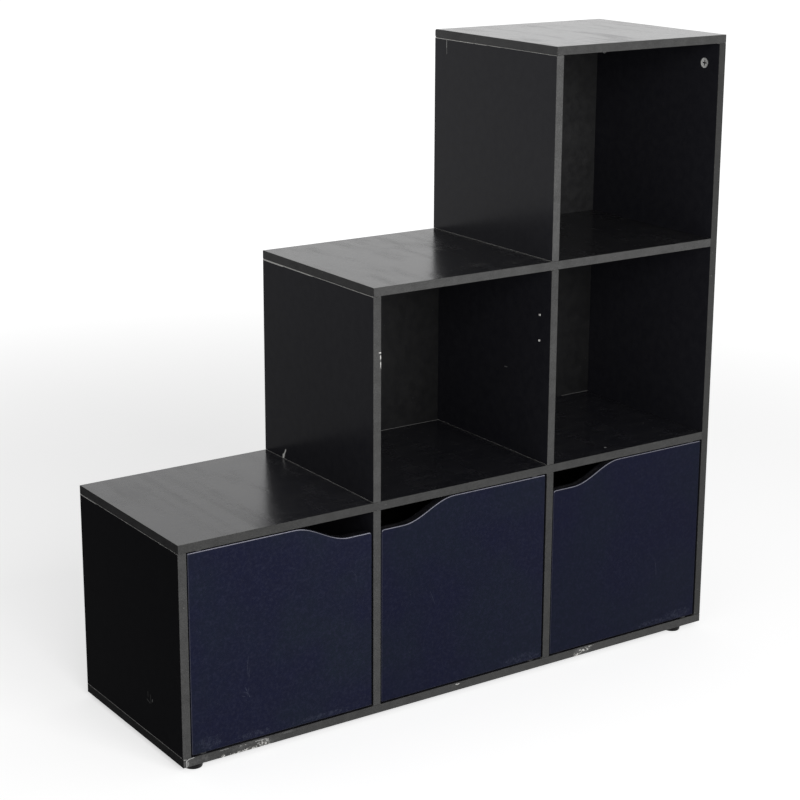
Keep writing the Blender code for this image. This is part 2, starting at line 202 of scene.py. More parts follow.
def spread(tree, value, low, high, new_low=0.0, new_high=1.0):
    """A value between two levels, brought to a new range with soft ends."""
    made = put(
        tree, "MapRange", interpolation_type="SMOOTHSTEP", Value=value,
        From_Min=low, From_Max=high, To_Min=new_low, To_Max=new_high,
    )
    return made.outputs[0]


def noise(tree, place, scale, detail=2.0, roughness=0.5, distortion=0.0):
    made = put(
        tree, "TexNoise", Vector=place, Scale=scale, Detail=detail, Roughness=roughness, Distortion=distortion
    )
    return made.outputs["Fac"]


def new_finish(name, roughness, metallic=0.0, specular=0.5):
    """A material with its own object coordinates, and its Principled shader."""
    finish = bpy.data.materials.new(name)
    finish.use_nodes = True
    tree = finish.node_tree
    shader = tree.nodes["Principled BSDF"]
    shader.inputs["Roughness"].default_value = roughness
    shader.inputs["Metallic"].default_value = metallic
    shader.inputs["Specular IOR Level"].default_value = specular
    return finish, tree, shader, put(tree, "TexCoord").outputs["Object"]


def cover(tree, shader, colour, rough, height, deep, strength):
    """Colour, relief and, where it varies, roughness go into the shader."""
    tree.links.new(colour, shader.inputs["Base Color"])
    if rough is not None:
        tree.links.new(rough, shader.inputs["Roughness"])
    relief = put(tree, "Bump", Height=height, Distance=deep, Strength=strength)
    tree.links.new(relief.outputs[0], shader.inputs["Normal"])


# Flakes of pressed wood, as a saw or a chip lays them bare
flakes, ins, outs = new_group("flakes of particle board", {"Place": (0, 0, 0), "Grime": 0.0}, ["Colour", "Height"])
cells = put(flakes, "TexVoronoi", Vector=stretched(flakes, ins[0], (1, 1, 1.6)), Scale=700)
fibres = noise(flakes, ins[0], 2600, 3)
tone = times(flakes, cells.outputs["Color"], 1.0)
pale = blend_colours(flakes, tone, (0.50, 0.494, 0.476), (0.86, 0.85, 0.825))
raw = blend_colours(flakes, spread(flakes, fibres, 0.55, 0.75), pale, (0.24, 0.23, 0.21))
# Dark patches laid over the flakes by the second input; only the base strip's chips use them.
dark_patches = spread(flakes, noise(flakes, ins[0], 260, 5, 0.75), 0.47, 0.60, 1.0, 0.0)
flakes.links.new(tint(flakes, raw, dark_patches, ins[1], (0.060, 0.060, 0.056)), outs[0])
flakes.links.new(plus(flakes, tone, fibres), outs[1])

# The printed and pressed grain of the foil: short pores in a row along it, and slow clouds of tone
grain, ins, outs = new_group("pressed grain", {"Place": (0, 0, 0), "Stretch": (1, 1, 1)}, ["Pores", "Clouds"])
fine = noise(grain, stretched(grain, ins[0], ins[1]), 1100, 3, 0.6)
broad = noise(grain, ins[0], 70, 5, 0.65, 0.4)
grain.links.new(spread(grain, fine, 0.52, 0.74), outs[0])
grain.links.new(spread(grain, broad, 0.3, 0.7), outs[1])

# What hands and cloths leave: smears, settled specks, and hairlines that are lighter than the foil
handling, ins, outs = new_group("marks of use", {"Place": (0, 0, 0)}, ["Smears", "Specks", "Hairlines"])
wiped = noise(handling, ins[0], 42, 5, 0.62, 0.8)
handling.links.new(spread(handling, wiped, 0.46, 0.72), outs[0])
dots = put(handling, "TexVoronoi", Vector=ins[0], Scale=210, Randomness=1.0)
chosen = put(handling, "TexWhiteNoise", noise_dimensions="3D", Vector=dots.outputs["Position"]).outputs["Value"]
dot_size = times(handling, maths(handling, "POWER", chosen, 11.0), 0.16)
handling.links.new(maths(handling, "LESS_THAN", dots.outputs["Distance"], dot_size), outs[1])
wander = noise(handling, stretched(handling, ins[0], (1.0, 1.0, 0.35)), 26, 2, 0.4)
line = maths(handling, "ABSOLUTE", plus(handling, wander, -0.5))
short = spread(handling, noise(handling, ins[0], 48, 2), 0.66, 0.72)
handling.links.new(times(handling, spread(handling, line, 0.0, 0.0022, 1.0, 0.0), short), outs[2])

# Where an edge has been rubbed or knocked: the rim that each piece carries, broken up unevenly
rubbed, ins, outs = new_group("rubbed edge", {"Place": (0, 0, 0), "Rim": 0.0, "Amount": 0.5}, ["Mask"])
patchy = noise(rubbed, ins[0], 160, 5, 0.7)
reach = plus(rubbed, plus(rubbed, ins[1], -1.0), ins[2])
worn = plus(rubbed, reach, plus(rubbed, patchy, -0.5))
rubbed.links.new(spread(rubbed, worn, 0.30, 0.46), outs[0])

# One ragged chip, with its middle and its reach to each side
chip, ins, outs = new_group(
    "ragged chip", {"Place": (0, 0, 0), "Middle": (0, 0, 0), "Reach": (0.01, 0.01, 0.01), "Ragged": 0.8}, ["Mask"]
)
scaled = vectors(chip, "DIVIDE", vectors(chip, "SUBTRACT", ins[0], ins[1]), ins[2])
torn = times(chip, plus(chip, noise(chip, ins[0], 420, 4, 0.7), -0.5), ins[3])
away = raised(chip, vectors(chip, "LENGTH", scaled, out=1), torn, 3.0)
chip.links.new(spread(chip, away, 0.75, 0.95, 1.0, 0.0), outs[0])

# One scratch between two points
scratch, ins, outs = new_group(
    "single scratch", {"Place": (0, 0, 0), "From": (0, 0, 0), "To": (0, 0, 0.01), "Width": 0.0004}, ["Mask"]
)
run = vectors(scratch, "SUBTRACT", ins[2], ins[1])
gone = vectors(scratch, "SUBTRACT", ins[0], ins[1])
along, whole = (vectors(scratch, "DOT_PRODUCT", line, run, 1) for line in (gone, run))
share = maths(scratch, "DIVIDE", along, whole, clamp=True)
nearest = put(scratch, "VectorMath", operation="SCALE", in0=run, Scale=share).outputs[0]
thin = maths(scratch, "DIVIDE", vectors(scratch, "DISTANCE", gone, nearest, 1), ins[3])
scratch.links.new(spread(scratch, thin, 0.5, 1.0, 1.0, 0.0), outs[0])


def group_node(tree, group, **given):
    """A node group placed in a material, with its own values."""
    made = tree.nodes.new("ShaderNodeGroup")
    made.node_tree = group
    for key, value in given.items():
        socket = made.inputs[key]
        if isinstance(value, bpy.types.NodeSocket):
            tree.links.new(value, socket)
        else:
            socket.default_value = value
    return made.outputs


def worn_rim(tree, place, amount):
    """The rim that the piece carries, and where along it the finish is rubbed."""
    rim = put(tree, "Attribute", attribute_name="rim").outputs["Fac"]
    return rim, group_node(tree, rubbed, Place=place, Rim=rim, Amount=amount)[0]


def on_face(axis, at, first, second):
    point = [first, second]
    point.insert(axis, at)
    return point


def spots_on(axis, at, rows):
    """Chips on a face across an axis. A row is the middle, the reach both ways and how ragged."""
    return [(on_face(axis, at, *row[:2]), on_face(axis, 0.004, *row[2:4]), row[4]) for row in rows]


def lines_on(axis, at, rows):
    """Scratches on a face across an axis. A row is both ends, the width and the strength."""
    return [(on_face(axis, at, *row[:2]), on_face(axis, at, *row[2:4]), row[4], row[5]) for row in rows]


def marks(tree, place, chips, scratches):
    """All the chips and scratches of one piece as one mask."""
    masks = [
        group_node(tree, chip, Place=place, Middle=middle, Reach=reach, Ragged=ragged)[0]
        for middle, reach, ragged in chips
    ]
    for start, end, wide, strength in scratches:
        mask = group_node(tree, scratch, Place=place, From=start, To=end, Width=wide)[0]
        masks.append(times(tree, mask, strength))
    total = masks[0] if masks else None
    for mask in masks[1:]:
        total = maths(tree, "MAXIMUM", total, mask)
    return total


def foil_finish(name, stretch, specular, tone, chips=(), scratches=(), streaks=0.0, matt=0.21, dusty_from=None):
    """Black melamine foil with its grain along the board."""
    finish, tree, shader, place = new_finish(name, 0.2, specular=specular)
    pores, clouds = group_node(tree, grain, Place=place, Stretch=stretch)
    smears, specks, hairlines = group_node(tree, handling, Place=place)
    rub = worn_rim(tree, place, 0.36)[1]
    upward = facing(tree, 2)
    dust = times(tree, specks, spread(tree, upward, 0.5, 0.9, 0.12, 1.0))
    dark, light, pore, lint = 0.88 * tone, 1.12 * tone, 0.4 * tone, (0.17, 0.168, 0.165)
    colour = blend_colours(tree, clouds, (dark, dark, 1.28 * dark), (light, light, 1.22 * light))
    colour = tint(tree, colour, pores, 0.25, (pore, pore, pore))
    colour = tint(tree, colour, smears, spread(tree, upward, 0.5, 0.9, 0.0, 0.05), (0.09, 0.088, 0.085))
    colour = tint(tree, colour, rub, 0.6, (0.07, 0.066, 0.062))
    colour = tint(tree, colour, hairlines, 0.25, (0.06, 0.06, 0.06))
    colour = tint(tree, colour, dust, 0.22, (0.22, 0.21, 0.20))
    film = spread(tree, noise(tree, stretched(tree, place, (0.10, 1.0, 1.0)), 150, 4, 0.6), 0.48, 0.68)
    colour = tint(tree, colour, film, spread(tree, upward, 0.5, 0.9, 0.0, 0.08), lint)
    along_x = part_of(tree, place, 0)
    if dusty_from is not None:
        past = spread(tree, along_x, dusty_from, dusty_from + 0.02, 0.0, 0.07)
        lying = times(tree, past, spread(tree, upward, 0.5, 0.9))
        uneven = spread(tree, noise(tree, place, 420, 4, 0.7), 0.35, 0.65, 0.3, 1.0)
        colour = tint(tree, colour, lying, uneven, lint)
    smudge = spread(tree, noise(tree, stretched(tree, place, (1.0, 0.25, 0.6)), 30, 4, 0.55), 0.46, 0.70)
    rough = raised(tree, matt, smears, 0.02)
    rough = raised(tree, rough, smudge, spread(tree, upward, 0.5, 0.9, 0.015, 0.08))
    rough = raised(tree, rough, pores, 0.06)
    rough = raised(tree, rough, maths(tree, "MAXIMUM", rub, dust), 0.35)
    if streaks:
        slid = noise(tree, stretched(tree, place, (1.0, 0.025, 1.0)), 42, 2, 0.5)
        inside = times(tree, spread(tree, along_x, -0.43, -0.41), spread(tree, along_x, -0.34, -0.29, 1.0, 0.0))
        rough = raised(tree, rough, times(tree, spread(tree, slid, 0.38, 0.72), inside), streaks)
    height = times(tree, pores, -1.0)
    gone = marks(tree, place, chips, scratches)
    if gone is not None:
        torn = blend_colours(tree, 0.6, group_node(tree, flakes, Place=place)[0], (0.86, 0.85, 0.83))
        colour = blend_colours(tree, gone, colour, torn)
        rough = raised(tree, rough, gone, 0.5)
        height = raised(tree, height, gone, -4.0)
    cover(tree, shader, colour, rough, height, 0.00003, 0.4)
    return finish


def strip_finish(name, colour, chips=(), scratches=(), scuffs=(), rubs=(), amount=0.40, specular=0.3, darkening=0.0):
    """Grey edge strip of thin plastic: faint lines along it, nicks, and chips down to the board."""
    finish, tree, shader, place = new_finish(name, 0.45, specular=specular)
    clouds = noise(tree, place, 60, 5, 0.7)
    fine = noise(tree, place, 620, 4, 0.7)
    smears, specks, hairlines = group_node(tree, handling, Place=place)
    rub = worn_rim(tree, place, amount)[1]
    darker, lighter, brightest, darkest = (
        [factor * value for value in colour] for factor in (0.80, 1.20, 2.3, 0.35)
    )
    shade = blend_colours(tree, spread(tree, clouds, 0.3, 0.7), darker, lighter)
    shade = blend_colours(tree, spread(tree, fine, 0.50, 0.78), shade, brightest)
    shade = blend_colours(tree, spread(tree, fine, 0.24, 0.50, 1.0, 0.0), shade, darkest)
    shade = tint(tree, shade, rub, 0.5, (0.17, 0.168, 0.16))
    shade = tint(tree, shade, hairlines, 0.5, (0.16, 0.16, 0.16))
    shade = tint(tree, shade, specks, 0.5, (0.25, 0.25, 0.24))
    rough = raised(tree, 0.38, smears, 0.12)
    height = times(tree, fine, 0.6)
    if scuffs:
        uneven = spread(tree, clouds, 0.42, 0.66, 0.05, 0.42)
        shade = tint(tree, shade, marks(tree, place, scuffs, ()), uneven, (0.17, 0.17, 0.168))
    if rubs:
        uneven = spread(tree, fine, 0.34, 0.56, 0.45, 1.0)
        shade = tint(tree, shade, marks(tree, place, (), rubs), uneven, (0.55, 0.55, 0.54))
    gone = marks(tree, place, chips, scratches)
    if gone is not None:
        shade = blend_colours(tree, gone, shade, group_node(tree, flakes, Place=place, Grime=darkening)[0])
        rough = raised(tree, rough, gone, 0.4)
        height = raised(tree, height, gone, -5.0)
    cover(tree, shader, shade, rough, height, 0.00004, 0.6)
    return finish


def sawn_finish(name, bare):
    """A sawn end: particle board with black foil frayed over it. Bare is how much shows."""
    finish, tree, shader, place = new_finish(name, 0.8, specular=0.2)
    raw, relief = group_node(tree, flakes, Place=place)
    frayed = noise(tree, place, 260, 5, 0.75)
    shown = spread(tree, frayed, 0.62 - 0.5 * bare, 0.78 - 0.5 * bare)
    cover(tree, shader, blend_colours(tree, shown, (0.013, 0.013, 0.013), raw), None, relief, 0.00015, 0.6)
    return finish


grain_x, grain_z = (0.07, 1.0, 1.0), (1.0, 1.0, 0.07)
shelf_foil = foil_finish("foil_of_lying_boards", grain_x, 0.5, 0.013)
upright_foil = foil_finish("foil_of_standing_boards", grain_z, 0.10, 0.020)
# The edge strips are all one grey plastic, but boards get their own lighter or darker greys: painted light and shade,
# for how much light reaches each front edge. The darker of these two is painted shade.
grey_strip = strip_finish("edge_strip", (0.047, 0.047, 0.0465))
shaded_darker_strip = strip_finish("darker_edge_strip", (0.032, 0.032, 0.031))
sawn_board = sawn_finish("sawn_particle_board", 1.0)
seam_line = sawn_finish("frayed_saw_edge", 0.80)
tight_seam = sawn_finish("tight_saw_edge", 0.28)


def saw_board(
    name, low, high, strips, foil=shelf_foil, strip=grey_strip, seam=seam_line, end_gloss=0.0, rear_round=0.0
):
    """A board sawn to size, with eased edges and a strip on each edge that faces one of the ways."""
    low, high = Vector(low), Vector(high)
    size = high - low
    across = min(range(3), key=lambda axis: size[axis])
    piece = boards[name] = block(f"faced_{name}", low, high)
    if rear_round:
        pick(piece, "EDGE", lambda edge: min(vertex.co.y for vertex in edge.verts) > high.y - 1e-5
             and edge.calc_length() > 0.1)
        bevel(rear_round, 6)
        pick(piece, "EDGE", lambda edge: edge.calc_face_angle(0) > math.radians(60))
    else:
        bpy.ops.object.mode_set(mode="EDIT")
        bpy.ops.mesh.select_all(action="SELECT")
    bevel(eased, 2)

    def end_of(way):
        return high if sum(way) > 0 else low

    lines = [(way, end_of(way) - way * strip_thick) for way in strips]
    if across == 0:
        lines += [(way, end_of(way) - way * (eased + seam_tall)) for way in (up_way, down_way)]
    for way, point in lines:
        cut_line(point, way)
    pick(piece, "FACE", lambda face: face.calc_area() > 0.01)
    bpy.ops.mesh.inset(thickness=0.003, use_individual=True)
    pick(piece, "FACE", lambda face: 0.0022 < face.calc_area() < 0.0115)
    bpy.ops.mesh.inset(thickness=0.0012, use_individual=True)
    leave_edit()
    for finish in (foil, strip, sawn_board, seam):
        piece.data.materials.append(finish)
    for way, label, gloss in ((left_way, "end", end_gloss), (right_way, "right", max(end_gloss, 0.12))):
        if way in strips:
            end_strip = strip_finish(f"{name}_{label}_strip", (0.019, 0.019, 0.0195), specular=gloss)
            piece.data.materials.append(end_strip)
    for face in piece.data.polygons:
        middle, normal = face.center, face.normal
        face.use_smooth = face.area < 0.0004 and max(abs(value) for value in normal) < 0.999
        for way in strips:
            if (end_of(way) - middle).dot(way) < strip_thick:
                face.material_index = 1 if way == front_way else 4 if way == left_way else 5
        if across == 0 and face.material_index == 0:
            if abs(normal.z) > 0.9:
                face.material_index = 2
            elif min(middle.z - low.z, high.z - middle.z) < eased + 0.00015:
                face.material_index = 3
        if across == 2 and face.material_index == 0 and abs(normal.x) > 0.9:
            face.material_index = 2
    rim = piece.data.attributes.new("rim", "FLOAT", "POINT")
    for count, vertex in enumerate(piece.data.vertices):
        gaps = sorted(min(vertex.co[axis] - low[axis], high[axis] - vertex.co[axis]) for axis in range(3))
        rim.data[count].value = 1.0 - min(1.0, gaps[1] / rim_reach)
    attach(piece, "case")
    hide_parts(name)
    return piece


def cut_away(piece, cutter, bared=sawn_board):
    """The cutter's shape is milled out of the piece, and what it bares is raw board or bare metal."""
    cutter.data.materials.append(bared)
    take(piece)
    mill = piece.modifiers.new("mill", "BOOLEAN")
    mill.object = cutter
    mill.solver = "EXACT"
    mill.material_mode = "TRANSFER"
    bpy.ops.object.modifier_apply(modifier=mill.name)
    bpy.data.objects.remove(cutter, do_unlink=True)


def drill(piece, mouth, into, radius, deep, sides=24, bared=sawn_board):
    bit = round_bar("bit", radius, deep + 0.001, mouth - into * 0.001, into, sides)
    for face in bit.data.polygons:
        face.use_smooth = len(face.vertices) == 4
    cut_away(piece, bit, bared)


base_strip = strip_finish(
    "base_edge_strip", (0.038, 0.038, 0.0375),
    chips=spots_on(1, front, [
        (-0.3960, 0.0100, 0.0035, 0.0026, 0.8),
        (-0.3740, 0.0086, 0.012, 0.0018, 1.2),
        (-0.3510, 0.0094, 0.016, 0.0030, 1.1),
        (-0.3330, 0.0115, 0.011, 0.0056, 0.6),
        (0.2120, 0.0105, 0.010, 0.0034, 1.2),
        (0.2230, 0.0150, 0.011, 0.0032, 1.3),
        (0.2340, 0.0178, 0.009, 0.0014, 1.0),
        (-0.0110, 0.0172, 0.004, 0.0012, 0.9),
    ]),
    scratches=lines_on(1, front, [
        (-0.3245, 0.0080, -0.3275, 0.0108, 0.0018, 1.0),
        (-0.3380, 0.0104, -0.3320, 0.0112, 0.0012, 0.9),
        (-0.3260, 0.0158, -0.3440, 0.0170, 0.0008, 0.7),
        (-0.3560, 0.0166, -0.3700, 0.0172, 0.0007, 0.5),
        (-0.3960, 0.0085, -0.3955, 0.0125, 0.0011, 0.6),
    ]),
    rubs=lines_on(1, front, [
        (-0.4508, 0.0085, -0.4508, 0.0172, 0.0010, 0.9),
        (-0.4508, 0.0172, -0.4475, 0.0190, 0.0009, 0.8),
        (-0.4475, 0.0190, -0.4400, 0.0196, 0.0009, 0.6),
        (-0.4484, 0.0100, -0.4482, 0.0150, 0.0009, 0.5),
        (-0.4557, 0.0195, -0.4515, 0.0192, 0.0008, 0.6),
        (-0.3460, 0.0176, -0.3290, 0.0172, 0.0007, 0.8),
        (-0.3290, 0.0170, -0.3265, 0.0120, 0.0008, 0.7),
        (-0.4010, 0.0184, -0.3880, 0.0186, 0.0006, 0.4),
    ]),
    scuffs=spots_on(1, front, [
        (-0.4360, 0.0130, 0.022, 0.0080, 0.5),
        (-0.3480, 0.0140, 0.040, 0.0080, 0.7),
        (0.2200, 0.0140, 0.022, 0.0080, 0.7),
        (-0.2900, 0.0180, 0.020, 0.0018, 0.7),
    ]),
    amount=0.44, darkening=0.96,
)
base_board = saw_board(
    "base_board", (-half_width, front, lying_z[0]), (half_width, rear, lying_z[0] + thick),
    [front_way, left_way, right_way], strip=base_strip, end_gloss=0.002,
)

# Standing boards of the bottom row: the outer left side and two dividers between the doors' cubes.
# Each has a strip on its front edge only. Its sawn ends butt on the boards over and under it, and
# the foil has frayed along the saw cuts, so the joints show as thin pale lines.
# The lower side's foil is made much darker and almost without gloss next to the sides above it: painted shade.
shaded_lower_foil = foil_finish(
    "foil_of_lower_side", grain_z, 0.002, 0.0042,
    scratches=lines_on(0, upright_x[0], [
        (0.1450, 0.3074, 0.0950, 0.3074, 0.0010, 0.8),
        (0.1450, 0.0205, -0.1400, 0.0205, 0.0009, 0.5),
        (-0.0470, 0.0810, -0.0475, 0.0740, 0.0010, 0.05),
        (-0.0545, 0.0790, -0.0560, 0.0680, 0.0010, 0.05),
        (-0.0605, 0.0735, -0.0600, 0.0715, 0.0015, 0.13),
        (-0.0440, 0.0690, -0.0530, 0.0665, 0.0010, 0.06),
    ]),
)


def stand_board(name, column, low_row, high_row, foil, strip=grey_strip, seam=seam_line):
    """A standing board in a column, between the lying boards of two rows."""
    low = (upright_x[column], front, lying_z[low_row] + thick + seat)
    high = (upright_x[column] + thick, rear, lying_z[high_row] - seat)
    return saw_board(name, low, high, [front_way], foil, strip, seam)


stand_board("lower_left_side", 0, 0, 1, shaded_lower_foil, seam=tight_seam)
stand_board("lower_divider_1", 1, 0, 1, upright_foil)
stand_board("lower_divider_2", 2, 0, 1, upright_foil, shaded_darker_strip)

# Lower shelf: lies on the bottom row and runs from the left end to the tall right side. Its top is
# the lowest step, where things have been slid from front to back and left faint bands. A pale line
# shows along the grooves of the back panels that stand in it.
groove_y, shelf_top = rear - 0.0157, lying_z[1] + thick
step_foil = foil_finish(
    "foil_of_lower_shelf", grain_x, 0.50, 0.012, streaks=0.10,
    scratches=lines_on(2, shelf_top, [
        (-0.1440, groove_y, -0.0600, groove_y, 0.0010, 0.40),
        (-0.0500, groove_y, 0.1440, groove_y, 0.0010, 0.60),
        (0.1560, groove_y, 0.3500, groove_y, 0.0008, 0.30),
        (0.3900, groove_y, 0.4440, groove_y, 0.0010, 0.60),
        (0.2692, -0.1243, 0.2700, -0.1243, 0.0018, 0.60),
    ]),
)
# The lower shelf's strip is a darker grey: painted shade.
step_strip = strip_finish("lower_shelf_edge_strip", (0.034, 0.034, 0.0335))


def lay_shelf(name, row, foil, strip, end_gloss):
    """A shelf from the row's outer side to the tall right side."""
    low = (upright_x[row - 1], front, lying_z[row])
    high = (upright_x[3] - seat, rear, lying_z[row] + thick)
    saw_board(name, low, high, [front_way, left_way], foil, strip, end_gloss=end_gloss)


lay_shelf("lower_shelf", 1, step_foil, step_strip, 0.008)

# Standing boards of the middle row: an outer side and one divider. The side has a chip near its
# foot, where the foil has lifted off the board, and knocks on its front strip.
knocked_foil = foil_finish(
    "foil_of_middle_side", grain_z, 0.022, 0.0150,
    chips=spots_on(0, upright_x[1], [(0.0935, 0.3230, 0.0026, 0.0050, 0.25)]),
    scratches=lines_on(0, upright_x[1], [
        (0.0950, 0.3190, 0.0915, 0.3260, 0.0027, 1.0),
        (0.0915, 0.3260, 0.0868, 0.3345, 0.0017, 1.0),
        (0.1450, 0.6073, 0.0900, 0.6073, 0.0019, 0.9),
        (0.0950, 0.6075, 0.0100, 0.6075, 0.0013, 0.8),
    ]),
)
strip_end = upright_x[1] + thick
knocked_strip = strip_finish(
    "middle_side_edge_strip", (0.051, 0.051, 0.0505),
    chips=spots_on(1, front, [
        (strip_end - 0.0016, 0.5303, 0.0024, 0.0010, 0.3),
        (strip_end - 0.0006, 0.5240, 0.0012, 0.0036, 0.5),
        (strip_end - 0.0004, 0.5140, 0.0010, 0.0060, 0.8),
    ]),
)
divider_foil = foil_finish(
    "foil_of_middle_divider", grain_z, 0.10, 0.020,
    scratches=lines_on(0, upright_x[2], [(-0.0395, 0.4443, -0.0450, 0.4450, 0.0012, 0.13)]),
)
stand_board("middle_left_side", 1, 1, 2, knocked_foil, knocked_strip)
middle_divider = stand_board("middle_divider_1", 2, 1, 2, divider_foil)

# Middle shelf: the second step, over the middle row and up to the tall right side. Dust lies on it
# where it runs on inside the right cube.
middle_foil = foil_finish("foil_of_middle_shelf", grain_x, 0.48, 0.006, dusty_from=upright_x[2] + thick)
# The middle shelf's strip is a lighter grey: painted light.
bright_strip = strip_finish("lighter_edge_strip", (0.055, 0.055, 0.0545))
lay_shelf("middle_shelf", 2, middle_foil, bright_strip, 0.072)

# Upper left side: the outer side of the top cube. A hairline crack in the foil runs down from its
# top edge near the rear, where a fitting behind it has pressed on the board.
cracked_foil = foil_finish(
    "foil_of_upper_side", grain_z, 0.082, 0.0165,
    scratches=lines_on(0, upright_x[2], [
        (0.1155, 0.9070, 0.1155, 0.8950, 0.0008, 0.55),
        (0.1155, 0.8960, 0.1150, 0.8860, 0.0006, 0.30),
        (0.1450, 0.9074, 0.0500, 0.9074, 0.0009, 0.8),
        (0.0450, 0.9074, 0.0180, 0.9074, 0.0009, 0.7),
        (0.0080, 0.9074, -0.0150, 0.9074, 0.0007, 0.5),
    ]),
)
# The upper side's strip is the lightest grey of all: painted light.
brightest_strip = strip_finish("upper_side_edge_strip", (0.070, 0.070, 0.0695))
stand_board("upper_left_side", 2, 2, 3, cracked_foil, brightest_strip)

# Right side: one tall board from the base board to the top board, which all the shelves end at.
# It is sawn and faced like the other standing boards, with a strip painted darker as painted shade.
tall_strip = strip_finish("right_side_edge_strip", (0.021, 0.021, 0.0205))
stand_board("right_side", 3, 0, 3, upright_foil, tall_strip)

# Top board: closes the top cube. It has strips on its front edge and both ends, as the base has.
# Its rear edge, which no strip covers, is rounded over.
top_foil = foil_finish("foil_of_top_board", grain_x, 0.64, 0.013, matt=0.17)
saw_board(
    "top_board", (upright_x[2], front, lying_z[3]), (half_width, rear, lying_z[3] + thick),
    [front_way, left_way, right_way], top_foil, end_gloss=0.22, rear_round=0.003,
)

# Back panels: thin black painted hardboard, one in each cube, slid into a groove that is milled
# round the four boards. The front is smooth and the rear has the mesh print of the press.
groove_deep = 0.004
panel_front, panel_rear = rear - 0.015, rear - 0.012


def panel_finish(name, darker, lighter):
    finish, tree, shader, place = new_finish(name, 0.5, specular=0.3)
    clouds = noise(tree, place, 75, 5, 0.65)
    fine = noise(tree, stretched(tree, place, (1.0, 1.0, 0.3)), 1400, 3, 0.6)
    smears, specks = group_node(tree, handling, Place=place)[:2]
    behind = maths(tree, "GREATER_THAN", facing(tree, 1), 0.5)
    wires = stretched(tree, place, (2600, 2600, 2600))
    across, upward = (maths(tree, "SINE", part_of(tree, wires, axis)) for axis in (0, 2))
    mesh_print = maths(tree, "MAXIMUM", across, upward)
    colour = blend_colours(tree, spread(tree, clouds, 0.3, 0.7), darker, lighter)
    back_tone = blend_colours(tree, spread(tree, clouds, 0.35, 0.65), (0.020, 0.016, 0.012), (0.032, 0.025, 0.019))
    colour = blend_colours(tree, behind, colour, back_tone)
    colour = tint(tree, colour, specks, 0.25, (0.15, 0.15, 0.14))
    rough = raised(tree, raised(tree, 0.42, smears, 0.14), behind, 0.25)
    printed = times(tree, mesh_print, times(tree, behind, 2.0))
    cover(tree, shader, colour, rough, raised(tree, printed, fine, 0.8), 0.00006, 0.7)
    return finish


# The panels behind the doors are coloured lighter and browner than the black ones: painted light, so they show in the
# shade behind the doors. The top cube's panels are a lighter grey than the middle row's.
row_panels = (
    panel_finish("thinly_painted_hardboard", (0.036, 0.033, 0.027), (0.056, 0.051, 0.042)),
    panel_finish("painted_hardboard", (0.0086, 0.0086, 0.0092), (0.0136, 0.0135, 0.0140)),
    panel_finish("grey_hardboard", (0.0160, 0.0160, 0.0166), (0.0250, 0.0249, 0.0255)),
)
lying_names = ["base_board", "lower_shelf", "middle_shelf", "top_board"]
rows = ["lower", "middle", "upper"]


def upright_name(column, row):
    if column == 3:
        return "right_side"
    return f"{rows[row]}_left_side" if column == row else f"{rows[row]}_divider_{column - row}"


for row in range(3):
    for column in range(row, 3):
        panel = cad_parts[f"{rows[row]}_back_panel_{column - row + 1}"]
        panel.data.materials[0] = row_panels[row]
        low = (upright_x[column] + thick - groove_deep, panel_front - seat, lying_z[row] + thick - groove_deep)
        high = (upright_x[column + 1] + groove_deep, panel_rear + seat, lying_z[row + 1] + groove_deep)
        around = (lying_names[row], lying_names[row + 1], upright_name(column, row), upright_name(column + 1, row))
        for board_name in around:
            cut_away(boards[board_name], block("router", low, high))

# Cam connectors: a die-cast zinc disc let into the face of one board grips a steel bolt that is
# screwed into the next. A screwdriver turns the disc by its cross slot. Two of them and a dowel
# hold each end of an outer board. Dividers have only dowels.
cam_radius, cam_deep = 0.0075, 0.0095
cam_back, cam_in = 0.031, 0.114
bolt_radius, bolt_grip = 0.0025, 0.0085
bore_radius = 0.0032
dowel_radius, dowel_long, dowel_seat, dowel_reach = 0.003, 0.030, 0.018, 0.008
foot_dowel_y, head_dowel_y = 0.049, 0.081


def grained_finish(name, dark, light, grit, relief, rough, stretch=(1, 1, 1), soft=False, **look):
    """One grain from dark to light. Grit is its noise, relief its depth and strength, and rough
    one roughness or the two that it goes between."""
    varies = isinstance(rough, tuple)
    finish, tree, shader, place = new_finish(name, rough[0] if varies else rough, **look)
    mottle = noise(tree, stretched(tree, place, stretch), *grit)
    share = spread(tree, mottle, 0.3, 0.7) if soft else mottle
    matt = spread(tree, mottle, 0.3, 0.7, *rough) if varies else None
    cover(tree, shader, blend_colours(tree, share, dark, light), matt, mottle, *relief)
    return finish


zinc = grained_finish(
    "cast_zinc", (0.74, 0.74, 0.72), (0.95, 0.95, 0.93), (1500, 4, 0.65), (0.00008, 0.6), (0.30, 0.52),
    soft=True, metallic=0.15,
)
steel = grained_finish(
    "bright_steel", (0.46, 0.46, 0.46), (0.68, 0.68, 0.67), (2500, 3, 0.6), (0.00003, 0.5), (0.18, 0.38),
    stretch=(1.0, 1.0, 0.08), metallic=1.0,
)
# Screw slots, cross recesses and the disc's pointer get a near-black finish: painted shade in the hollows.
shaded_recess_finish = grained_finish(
    "dark_recess", (0.020, 0.019, 0.018), (0.060, 0.058, 0.054), (1400, 3, 0.6), (0.00005, 0.5), 0.6, metallic=0.6
)
beech = grained_finish(
    "beech", (0.44, 0.27, 0.14), (0.62, 0.44, 0.26), (1800, 4, 0.6), (0.00008, 0.6), 0.6,
    stretch=(1.0, 1.0, 0.05), soft=True,
)


def soften(piece, rounding=0.0, segments=2):
    """Edges are rounded, and faces shaded smooth between the sharp ones."""
    take(piece)
    if rounding:
        soft = piece.modifiers.new("rounding", "BEVEL")
        soft.width, soft.segments = rounding, segments
        soft.limit_method, soft.angle_limit = "ANGLE", math.radians(40)
        bpy.ops.object.modifier_apply(modifier=soft.name)
    bpy.ops.object.shade_smooth_by_angle(angle=math.radians(35))


